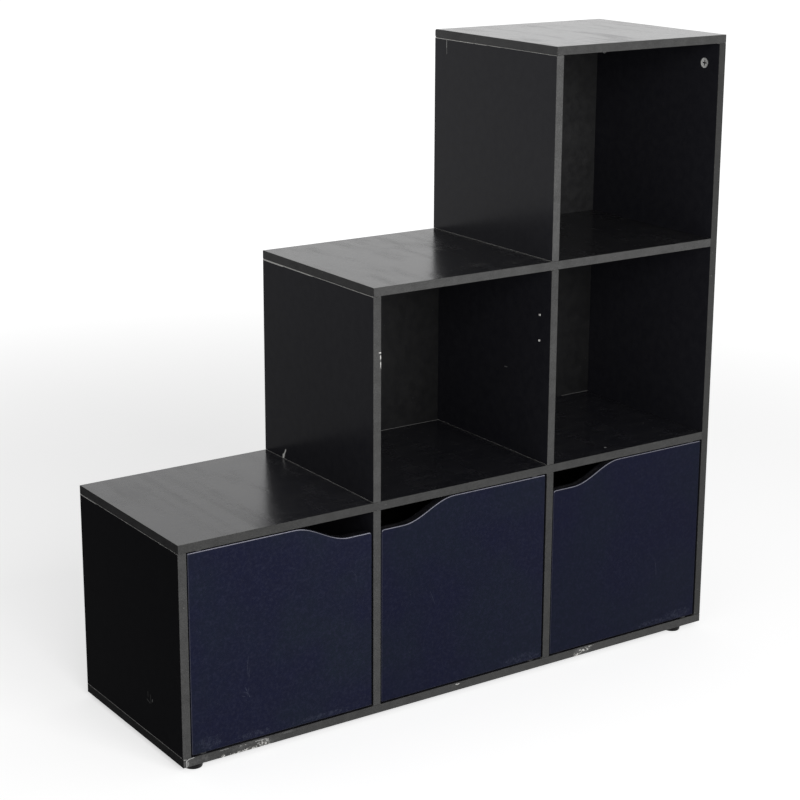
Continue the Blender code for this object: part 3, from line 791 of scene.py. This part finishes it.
def recess(piece, point, into, wide, long, deep):
    """A cross slot for a screwdriver, cut from a point on the face, its walls in the near-black painted-shade finish.
    """
    side = up_way if abs(into.z) < 0.5 else right_way
    for arm in (side, into.cross(side)):
        reach = arm * long / 2
        other = into.cross(arm) * wide / 2
        corners = [point - reach - other - into * 0.001, point + reach + other + into * deep]
        low = [min(corner[axis] for corner in corners) for axis in range(3)]
        high = [max(corner[axis] for corner in corners) for axis in range(3)]
        cut_away(piece, block("slot", low, high), shaded_recess_finish)


def copy_to(master, name, place):
    """A copy with a mesh of its own, set down by a matrix that then goes into the mesh."""
    take(master)
    bpy.ops.object.duplicate(linked=False)
    piece = named(bpy.context.object, name, None)
    piece.matrix_world = place
    bpy.ops.object.transform_apply(location=True, rotation=True, scale=True)
    return piece


def discard(*masters):
    for master in masters:
        bpy.data.objects.remove(master, do_unlink=True)


def join_pieces(first, other):
    take(first)
    other.select_set(True)
    bpy.ops.object.join()
    return first


disc = round_bar("cam", cam_radius - seat, cam_deep, origin, down_way, 40, zinc)
pick(disc, "FACE", lambda face: face.normal.z > 0.9)
bpy.ops.mesh.inset(thickness=0.0011)
bpy.ops.transform.translate(value=(0, 0, -0.0004))
bpy.ops.mesh.inset(thickness=0.0005)
leave_edit()
recess(disc, Vector((0, 0, -0.0004)), down_way, 0.0020, 0.0080, 0.0028)
cut_away(disc, block("pointer", (0.0048, -0.0005, -0.0008), (0.0080, 0.0005, 0.001)), shaded_recess_finish)
soften(disc, 0.00012, 1)
bolt_start = Vector((0, 0, -thick / 2))
bolt = round_bar("bolt", bolt_radius, cam_back + bolt_grip, bolt_start, right_way, 20, steel)
bpy.ops.object.mode_set(mode="EDIT")
for waist_x in (0.002, 0.010, 0.0108):
    cut_line((waist_x, 0, 0), right_way)
pick(bolt, "VERT", lambda vertex: 0.0019 < vertex.co.x < 0.0101)
bpy.ops.transform.resize(value=(1, 0.72, 0.72), center_override=bolt_start)
leave_edit()
soften(bolt, 0.0002, 1)
cam = join_pieces(disc, bolt)

dowel = round_bar("dowel", dowel_radius, dowel_long, Vector((0, 0, -dowel_long / 2)), up_way, 32, beech)
pick(dowel, "EDGE", lambda edge: abs(edge.verts[0].co.z - edge.verts[1].co.z) < 0.001)
bevel(0.0008, 1)
pick(dowel, "VERT", lambda vertex: round(math.atan2(vertex.co.y, vertex.co.x) / math.radians(11.25)) % 4 == 0)
bpy.ops.transform.resize(value=(0.94, 0.94, 1), center_override=origin)
leave_edit()
soften(dowel)


def dowel_in(name, pair, edge, reach):
    """A dowel glued into the first board, that enters the second where its edge meets it."""
    middle = Matrix.Translation(edge + reach * (dowel_reach - dowel_seat) / 2)
    turn = reach.to_track_quat("Z", "Y").to_matrix().to_4x4()
    shorter = Matrix.Diagonal((1, 1, (dowel_seat + dowel_reach) / dowel_long, 1))
    piece = copy_to(dowel, name, middle @ turn @ shorter)
    drill(pair[0], edge, -reach, bore_radius, dowel_seat + seat, 12)
    drill(pair[1], edge, reach, bore_radius, dowel_reach + seat, 12)
    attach(piece, "case")


def cam_joint(name, cam_board, bolt_board, edge, reach, out):
    """Two connectors and the dowel between them. Edge is the joint's middle at the cam board's end."""
    cam_board, bolt_board = boards[cam_board], boards[bolt_board]
    turn = Matrix((reach, out.cross(reach), out)).transposed().to_4x4()
    for end, y in (("front", -cam_in), ("rear", cam_in)):
        point = Vector((edge[0], y, edge[2]))
        mouth = point - reach * cam_back + out * thick / 2
        drill(cam_board, mouth, -out, cam_radius, cam_deep + seat, 40)
        drill(cam_board, point, -reach, bore_radius, cam_back, 16)
        drill(bolt_board, point, reach, bolt_radius + seat, bolt_grip + seat, 16)
        piece = copy_to(cam, f"{name}_{end}_connector", Matrix.Translation(mouth) @ turn)
        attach(piece, "case")
        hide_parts(f"{name}_{end}_cam")
    dowel_in(f"{name}_dowel", (cam_board, bolt_board), Vector(edge), reach)


for row in range(3):
    side, x = upright_name(row, row), upright_x[row] + thick / 2
    cam_joint(f"{side}_bottom", side, lying_names[row], (x, 0, lying_z[row] + thick), down_way, right_way)
    cam_joint(f"{side}_top", side, lying_names[row + 1], (x, 0, lying_z[row + 1]), up_way, right_way)
tall_x = upright_x[3] + thick / 2
cam_joint("right_side_bottom", "right_side", "base_board", (tall_x, 0, lying_z[0] + thick), down_way, left_way)
cam_joint("right_side_top", "right_side", "top_board", (tall_x, 0, lying_z[3]), up_way, left_way)
for level in (1, 2):
    end = (upright_x[3], 0, lying_z[level] + thick / 2)
    cam_joint(f"{lying_names[level]}_end", lying_names[level], "right_side", end, right_way, down_way)
for column, row in ((1, 0), (2, 0), (2, 1)):
    divider, x = upright_name(column, row), upright_x[column] + thick / 2
    for end, y in (("front", -1), ("rear", 1)):
        for label, y_in, z, under, way in (
            ("bottom", foot_dowel_y, lying_z[row] + thick, row, down_way),
            ("top", head_dowel_y, lying_z[row + 1], row + 1, up_way),
        ):
            pair = (boards[divider], boards[lying_names[under]])
            dowel_in(f"{divider}_{label}_{end}_dowel", pair, Vector((x, y * y_in, z)), way)
discard(cam, dowel)

# Feet: round black plastic glides, 8 mm high, moulded with a hollow underneath, where a screw holds
# each of them to the base board near a corner.
foot_left_in, foot_right_in, foot_front_in = 0.023, 0.044, 0.016
glide_radius, glide_taper, hollow_z = 0.014, 0.893, 0.0019


def moulded(name, colour, rough, grit, specular=0.5):
    finish, tree, shader, place = new_finish(name, rough, specular=specular)
    fine = noise(tree, place, grit, 3, 0.6)
    clouds = noise(tree, place, 90, 4, 0.6)
    darker, lighter = ([factor * value for value in colour] for factor in (0.8, 1.3))
    tone = blend_colours(tree, spread(tree, clouds, 0.3, 0.7), darker, lighter)
    cover(tree, shader, tone, spread(tree, clouds, 0.3, 0.7, rough - 0.07, rough + 0.1), fine, 0.00004, 0.6)
    return finish


foot_plastic = moulded("foot_plastic", (0.006, 0.006, 0.006), 0.45, 2200, specular=0.12)
glide = round_bar("glide", glide_radius, foot_high - seat, origin, up_way, 56, foot_plastic)
pick(glide, "FACE", lambda face: face.normal.z < -0.9)
bpy.ops.transform.resize(value=(glide_taper, glide_taper, 1), center_override=origin)
bpy.ops.mesh.inset(thickness=0.0060)
bpy.ops.mesh.extrude_region_move(TRANSFORM_OT_translate={"value": (0, 0, 0.0035)})
leave_edit()
soften(glide, 0.0006, 3)
foot_screw = round_bar("foot_screw", 0.0042, 0.0016, Vector((0, 0, hollow_z)), up_way, 28, steel)
pick(foot_screw, "FACE", lambda face: face.normal.z < -0.9)
bpy.ops.transform.resize(value=(0.75, 0.75, 1), center_override=origin)
leave_edit()
recess(foot_screw, Vector((0, 0, hollow_z)), up_way, 0.0009, 0.0040, 0.0009)
soften(foot_screw, 0.00015, 1)
for side, x in (("left", -half_width + foot_left_in), ("right", half_width - foot_right_in)):
    for end, y in (("front", front + foot_front_in), ("rear", rear - foot_front_in)):
        place = Matrix.Translation((x, y, 0))
        piece = copy_to(glide, f"{end}_{side}_glide", place)
        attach(piece, "case")
        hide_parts(f"{end}_{side}_foot")
        piece = copy_to(foot_screw, f"{end}_{side}_glide_screw", place)
        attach(piece, "case")
discard(glide, foot_screw)

# Doors: 15 mm fibreboard with very dark navy foil drawn over the front and its rounded rim, black
# edges and back, and a wave cut out of the top corner on the pull side for the fingers. The rim has
# been rubbed lighter by hands, and a painted highlight lightens it most where it faces up and to the
# left. They lie inside the cubes and turn on pins.
door_thick, door_round, door_gap = 0.015, 0.0020, 0.002
door_side = cube - 2 * door_gap
door_front = front + 0.0005
door_back, door_middle = door_front + door_thick, door_front + door_thick / 2
wave_deep, wave_flat, wave_ramp, wave_corner = 0.0275, 0.036, 0.087, 0.004
wave_ease = 0.363 * wave_ramp
door_low = lying_z[0] + thick + door_gap
door_top = door_low + door_side
hinge_in, pin_bore, pin_deep = 0.018, 0.0028, 0.020


def door_finish(name, depth, chips, scratches):
    """Navy foil with its rubbed rim and a painted highlight on it. Its painted shade is how much darker and more matt
    the door is made.
    """
    finish, tree, shader, place = new_finish(name, 0.35, specular=0.11 - 0.1 * depth)
    pores, clouds = group_node(tree, grain, Place=place, Stretch=(1.0, 1.0, 0.10))
    smears, specks, hairlines = group_node(tree, handling, Place=place)
    rim, rub = worn_rim(tree, place, 0.50)
    faded = spread(tree, noise(tree, place, 7.5, 3, 0.5), 0.38, 0.62)
    mottle = spread(tree, noise(tree, place, 230, 4, 0.72), 0.42, 0.72)
    colour = blend_colours(tree, faded, (0.0034, 0.0048, 0.0224), (0.0044, 0.0084, 0.0192))
    colour = blend_colours(tree, mottle, colour, (0.0125, 0.0145, 0.0350))
    colour = blend_colours(tree, depth, colour, (0.0032, 0.0036, 0.0135))
    colour = tint(tree, colour, clouds, 0.30, (0.0016, 0.0022, 0.0100))
    colour = tint(tree, colour, pores, 0.2, (0.012, 0.014, 0.030))
    colour = tint(tree, colour, hairlines, 0.4, (0.05, 0.055, 0.085))
    sideways, upward = facing(tree, 0), facing(tree, 2)
    # Painted highlight: the rim is lightened most where it faces up and to the left, and hardly where it faces right
    # or down. Its rubbed share is wear.
    highlight_side = spread(tree, sideways, 0.10, 0.45, 1.0, 0.1)
    highlight_side = times(tree, highlight_side, spread(tree, upward, 0.10, 0.50, 0.16, 1.0))
    line = plus(tree, times(tree, rim, 0.32), times(tree, rub, 0.5))
    colour = tint(tree, colour, highlight_side, times(tree, line, 1.0 - depth), (0.42, 0.42, 0.50))
    colour = tint(tree, colour, specks, 0.06, (0.16, 0.17, 0.20))
    scuffs, cuts = marks(tree, place, chips, ()), marks(tree, place, (), scratches)
    scuffs = times(tree, scuffs, spread(tree, noise(tree, place, 300, 4, 0.7), 0.40, 0.68, 0.0, 0.5))
    cuts = times(tree, cuts, spread(tree, noise(tree, place, 380, 3, 0.6), 0.36, 0.60, 0.1, 0.75))
    colour = blend_colours(tree, maths(tree, "MAXIMUM", scuffs, cuts), colour, (0.046, 0.052, 0.080))
    tree.links.new(times(tree, rim, spread(tree, upward, 0.0, 0.5)), shader.inputs["Coat Weight"])
    shader.inputs["Coat Roughness"].default_value = 0.12
    rough = raised(tree, raised(tree, 0.35, smears, 0.03), pores, 0.05)
    cover(tree, shader, colour, rough, times(tree, pores, -1.0), 0.00004, 0.5)
    return finish


def wave_points(steps):
    """Distance from the pull edge and drop below the top, along the S of the cut-out."""
    ins = (wave_flat, wave_flat + wave_ease, wave_flat + wave_ramp - wave_ease, wave_flat + wave_ramp)
    drops = (wave_deep, wave_deep, 0, 0)
    points = []
    for step in range(steps + 1):
        t = step / steps
        weights = (1 - t) ** 3, 3 * t * (1 - t) ** 2, 3 * t * t * (1 - t), t ** 3
        points.append((sum(w * v for w, v in zip(weights, ins)), sum(w * v for w, v in zip(weights, drops))))
    return points


def shape_door(name, pull_x, hinge_x):
    side = 1 if pull_x > hinge_x else -1
    low = (min(pull_x, hinge_x), door_front, door_low)
    piece = block(name, low, (max(pull_x, hinge_x), door_back, door_top))
    bpy.ops.object.mode_set(mode="EDIT")
    points = wave_points(26)
    for inward, _ in points:
        cut_line((pull_x - side * inward, 0, 0), right_way)
    for inward, drop in [(0.0, wave_deep), *points[:-1]]:
        x = pull_x - side * inward
        pick(piece, "VERT", lambda vertex: abs(vertex.co.x - x) < 1e-5 and vertex.co.z > door_top - 1e-5)
        bpy.ops.transform.translate(value=(0, 0, -drop))
    corner = Vector((pull_x, door_middle, door_top - wave_deep))
    pick(piece, "EDGE", lambda edge: ((edge.verts[0].co + edge.verts[1].co) / 2 - corner).length < 1e-4)
    bevel(wave_corner, 5)
    pick(piece, "EDGE", lambda edge: edge.calc_face_angle(0) > math.radians(40))
    bevel(door_round, 5)
    pick(piece, "FACE", lambda face: face.normal.y < -0.999)
    bpy.ops.mesh.inset(thickness=0.0010)
    leave_edit()
    rim = piece.data.attributes.new("rim", "FLOAT", "POINT")
    for count, vertex in enumerate(piece.data.vertices):
        back_by = (vertex.co.y - low[1]) / door_round
        rim.data[count].value = 1.0 if 0.10 < back_by < 0.60 else 0.15 if 0.01 < back_by < 0.80 else 0.0
    for face in piece.data.polygons:
        face.material_index = 0 if face.center.y < door_front + door_round else 1
    return piece


door_facts = (
    ("left_door", upright_x[1] - door_gap, upright_x[0] + thick + door_gap),
    ("middle_door", upright_x[1] + thick + door_gap, upright_x[2] - door_gap),
    ("right_door", upright_x[2] + thick + door_gap, upright_x[3] - door_gap),
)
# The first number of each door is painted shade: the doors further right are made darker and more matt, for the less
# light that reaches them.
door_marks = {
    "left_door": (
        0.08,
        [
            (-0.4150, 0.0340, 0.020, 0.0100, 0.6),
            (-0.3450, 0.0290, 0.030, 0.0050, 0.7),
            (-0.2400, 0.0280, 0.050, 0.0040, 0.8),
        ],
        [
            (-0.4408, 0.3046, -0.4385, 0.3050, 0.0016, 1.0),
            (-0.3548, 0.1430, -0.3562, 0.1310, 0.0007, 0.8),
            (-0.3562, 0.1310, -0.3556, 0.1160, 0.0006, 0.8),
            (-0.3530, 0.1260, -0.3541, 0.1130, 0.0006, 0.6),
            (-0.3600, 0.0990, -0.3535, 0.0845, 0.0008, 0.9),
            (-0.3622, 0.0935, -0.3560, 0.0905, 0.0007, 0.9),
            (-0.3548, 0.0975, -0.3572, 0.0880, 0.0006, 0.7),
            (-0.3645, 0.0880, -0.3600, 0.0868, 0.0006, 0.6),
            (-0.1905, 0.2290, -0.1845, 0.2215, 0.0005, 0.6),
            (-0.1845, 0.2215, -0.1835, 0.2120, 0.0005, 0.5),
        ],
    ),
    "middle_door": (
        0.28,
        [(0.1050, 0.0300, 0.035, 0.0070, 0.8)],
        [
            (-0.1408, 0.2785, -0.1380, 0.2783, 0.0014, 0.9),
            (-0.0600, 0.1700, -0.0520, 0.1500, 0.0006, 0.6),
        ],
    ),
    "right_door": (
        0.42,
        [(0.4100, 0.0310, 0.030, 0.0080, 0.8), (0.3600, 0.0280, 0.040, 0.0040, 0.8)],
        [
            (0.1592, 0.2785, 0.1620, 0.2783, 0.0014, 0.9),
            (0.3600, 0.1250, 0.3620, 0.1050, 0.0006, 0.6),
        ],
    ),
}
black_edge = foil_finish("foil_of_door_backs", grain_z, 0.10, 0.009)
hinge_axes = {}
for name, pull_x, hinge_x in door_facts:
    piece = shape_door(f"{name}_panel", pull_x, hinge_x)
    depth, scuffs, cuts = door_marks[name]
    piece.data.materials.append(
        door_finish(f"{name}_foil", depth, spots_on(1, door_front, scuffs), lines_on(1, door_front, cuts))
    )
    piece.data.materials.append(black_edge)
    axis_x = hinge_x + (hinge_in if pull_x > hinge_x else -hinge_in)
    hinge_axes[name] = Vector((axis_x, door_middle, 0))
    for z, into in ((door_low, up_way), (door_top, down_way)):
        drill(piece, Vector((axis_x, door_middle, z)), into, pin_bore, pin_deep, 20)
    take(piece)
    flat = piece.modifiers.new("even light", "WEIGHTED_NORMAL")
    flat.keep_sharp = True
    bpy.ops.object.shade_smooth_by_angle(angle=math.radians(35))
    bpy.ops.object.modifier_apply(modifier=flat.name)
    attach(piece, name)
    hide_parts(name)

# Strike plates: a thin steel plate on the back of each door, which the magnet of the catch pulls
# on. It is stamped with rounded corners and held by one screw in a dimple.
strike_in, strike_wide, strike_half, strike_thick = 0.003, 0.014, 0.015, 0.0012
catch_middle = lying_z[1] - 0.0882
strike_face = door_back + strike_thick
for name, pull_x, hinge_x in door_facts:
    side = 1 if pull_x > hinge_x else -1
    near = pull_x - side * strike_in
    far = near - side * strike_wide
    plate = block(
        f"{name}_strike", (min(near, far), door_back + 0.00005, catch_middle - strike_half),
        (max(near, far), strike_face, catch_middle + strike_half), steel,
    )
    pick(plate, "EDGE", lambda edge: abs(edge.verts[0].co.y - edge.verts[1].co.y) > 0.0005)
    bevel(0.002, 5)
    leave_edit()
    middle = Vector(((near + far) / 2, strike_face, catch_middle))
    drill(plate, middle, front_way, 0.0031, 0.0007, 32, steel)
    soften(plate, 0.00015, 1)
    screw = round_bar(f"{name}_strike_screw", 0.0029, 0.0008, middle + front_way * 0.0008, -front_way, 28, steel)
    recess(screw, middle, front_way, 0.0008, 0.0032, 0.0005)
    soften(screw, 0.0001, 1)
    for piece in (plate, screw):
        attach(piece, name)

# Pivots: steel pins in both ends of each door, turning in flanged black nylon bushes. The bushes
# are pressed into bores in the base board and the lower shelf.
bush_bore, bush_deep = 0.0047, 0.0083
nylon = moulded("black_nylon", (0.028, 0.028, 0.030), 0.42, 1800)
for name, axis in hinge_axes.items():
    for end in ("lower", "upper"):
        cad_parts[f"{name}_{end}_pin"].data.materials[0] = steel
        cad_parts[f"{name}_{end}_bush"].data.materials[0] = nylon
    drill(base_board, axis + up_way * (lying_z[0] + thick), down_way, bush_bore, bush_deep, 24)
    drill(boards["lower_shelf"], axis + up_way * lying_z[1], up_way, bush_bore, bush_deep, 24)

# Magnetic catches: a moulded block on a base with two ears, screwed to the upright behind each
# door's pull side. Two steel pole plates stand out of its front with the magnet between them.
catch_front = strike_face + 0.0005
catch_rear = catch_front + 0.0155
catch_proud, catch_half, pole_half = 0.012, 0.014, 0.0115
base_thick, ear_wide, ear_reach = 0.003, 0.0045, 0.023
ear_y = (catch_front + catch_rear) / 2
screw_lifts = (0.0188, -0.0188)
pilot_radius, pilot_deep = 0.00125, 0.005
catch_plastic = moulded("catch_plastic", (0.022, 0.020, 0.018), 0.48, 1600)
ferrite = grained_finish("ferrite", (0.03, 0.03, 0.032), (0.06, 0.06, 0.062), (3000, 3, 0.7), (0.00005, 0.6), 0.6)
catch_bars = (
    ("inner_pole", 0.0022, 0.0034, steel), ("magnet", 0.0036, 0.0084, ferrite), ("outer_pole", 0.0086, 0.0098, steel)
)
for name, pull_x, hinge_x in door_facts:
    side = 1 if pull_x > hinge_x else -1
    wall = pull_x + side * door_gap
    outward = Vector((-side, 0, 0))

    def on_wall(label, first, second, y_low, y_high, half_tall, material):
        """A block that stands off the wall by the first to the second distance."""
        near, far = sorted((wall - side * first, wall - side * second))
        return block(
            f"{name}_{label}", (near, y_low, catch_middle - half_tall), (far, y_high, catch_middle + half_tall),
            material,
        )

    body = on_wall("catch_block", seat, catch_proud, catch_front + 0.0006, catch_rear, catch_half, catch_plastic)
    pick(body, "FACE", lambda face: face.normal.y < -0.9)
    bpy.ops.mesh.inset(thickness=0.0012)
    bpy.ops.mesh.extrude_region_move(TRANSFORM_OT_translate={"value": (0, 0.0012, 0)})
    leave_edit()
    soften(body, 0.0007, 3)
    ears = on_wall("ears", seat, seat + base_thick, ear_y - ear_wide, ear_y + ear_wide, ear_reach, catch_plastic)
    pick(ears, "EDGE", lambda edge: abs(edge.verts[0].co.x - edge.verts[1].co.x) > 0.002)
    bevel(0.0040, 6)
    leave_edit()
    board = boards["lower_divider_1" if name != "right_door" else "lower_divider_2"]
    for lift in screw_lifts:
        point = Vector((wall, ear_y, catch_middle + lift))
        drill(ears, point + outward * 0.0045, -outward, 0.0016, 0.0060, 20, catch_plastic)
        drill(board, point, -outward, pilot_radius, pilot_deep, 12)
    soften(ears, 0.0004, 2)
    body = join_pieces(body, ears)
    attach(body, "case")
    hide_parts(f"{name}_catch")
    for label, low_in, high_in, finish in catch_bars:
        proud = 0.0 if finish is steel else 0.0009
        bar = on_wall(
            f"catch_{label}", low_in, high_in, catch_front + proud, catch_front + 0.0017, pole_half, finish
        )
        soften(bar, 0.0002, 2)
        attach(bar, "case")
    for count, lift in enumerate(screw_lifts, 1):
        point = Vector((wall, ear_y, catch_middle + lift)) + outward * (seat + base_thick)
        head = round_bar(f"{name}_catch_screw_{count}", 0.0030, 0.0018, point, outward, 28, steel)
        pick(head, "FACE", lambda face: face.normal.dot(outward) > 0.9)
        bpy.ops.transform.resize(value=(1, 0.62, 0.62), center_override=point)
        leave_edit()
        recess(head, point + outward * 0.0018, -outward, 0.0008, 0.0030, 0.0010)
        soften(head, 0.0002, 2)
        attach(head, "case")

# Pilot holes for a catch in the open cube left of the middle divider. The bit has burst the foil
# round each mouth, and pale flakes stand out of it.
burst_white = grained_finish(
    "burst_foil_and_fibre", (0.72, 0.71, 0.68), (0.95, 0.94, 0.92), (2400, 3, 0.7), (0.0002, 0.7), 0.8, specular=0.2
)
for label, lift in zip(("upper", "lower"), screw_lifts):
    point = Vector((upright_x[2], ear_y, lying_z[2] - 0.0882 + lift))
    drill(middle_divider, point, right_way, pilot_radius, pilot_deep, 12)
    burst = round_bar(f"pilot_burr_{label}", 0.0016, 0.0008, point, left_way, 14, burst_white)
    pick(burst, "FACE", lambda face: face.normal.x < -0.9)
    bpy.ops.mesh.inset(thickness=0.0005)
    bpy.ops.transform.translate(value=(0.0005, 0, 0))
    leave_edit()
    soften(burst)
    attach(burst, "case")

# Studio: a pale floor, an even sky that is white to the camera and to reflections, and a soft lamp
# in front, a little above the camera. The lamp doesn't show as a glare in the tops from behind.
deselect_all()
bpy.ops.mesh.primitive_plane_add(size=60, location=(0, 0, 0))
floor = bpy.context.object
floor.name = "floor"
pale_floor, tree, shader, place = new_finish("pale_floor", 0.9, specular=0.0)
shader.inputs["Base Color"].default_value = (0.80, 0.80, 0.80, 1)


def seen_directly(tree):
    """1 for what the camera sees, itself or in a gloss, and 0 for the light that falls on things."""
    rays = put(tree, "LightPath").outputs
    return maths(
        tree, "ADD", plus(tree, rays["Is Camera Ray"], rays["Is Glossy Ray"]), rays["Is Transmission Ray"], clamp=True
    )


# The floor glows for the camera and in glosses, weaker near the object and whiter further out: the weaker glow is
# painted shade round the object.
whiter = spread(tree, vectors(tree, "LENGTH", place, out=1), 1.2, 3.2, 0.58, 0.88)
shader.inputs["Emission Color"].default_value = (1, 1, 1, 1)
tree.links.new(times(tree, seen_directly(tree), whiter), shader.inputs["Emission Strength"])
floor.data.materials.append(pale_floor)

sky = bpy.data.worlds.new("studio")
bpy.context.scene.world = sky
sky.use_nodes = True
background = sky.node_tree.nodes["Background"]
background.inputs["Color"].default_value = (1, 1, 1, 1)
level = raised(sky.node_tree, 0.28, seen_directly(sky.node_tree), 0.72)
sky.node_tree.links.new(level, background.inputs["Strength"])

lamp = bpy.data.lights.new("soft_box", "AREA")
lamp.energy = 98
lamp.shape = "RECTANGLE"
lamp.size, lamp.size_y = 3.0, 1.8
lamp_object = bpy.data.objects.new("soft_box", lamp)
lamp_object.visible_glossy = False
lamp_object.location = (-0.35, -3.4, 1.7)
lamp_object.rotation_euler = Vector((-0.35, -3.4, 1.2)).to_track_quat("Z", "Y").to_euler()
bpy.context.scene.collection.objects.link(lamp_object)

camera = bpy.data.cameras.new("camera")
camera.lens = 89.13
camera.sensor_width = 36.0
camera.shift_y = -0.05
camera.clip_end = 100
camera_object = bpy.data.objects.new("camera", camera)
camera_object.location = (-1.5596, -2.2751, 1.2093)
camera_object.rotation_euler = [math.radians(value) for value in (74.922, -0.232, -34.110)]
bpy.context.scene.collection.objects.link(camera_object)
bpy.context.scene.camera = camera_object
bpy.context.scene.view_settings.view_transform = "Standard"
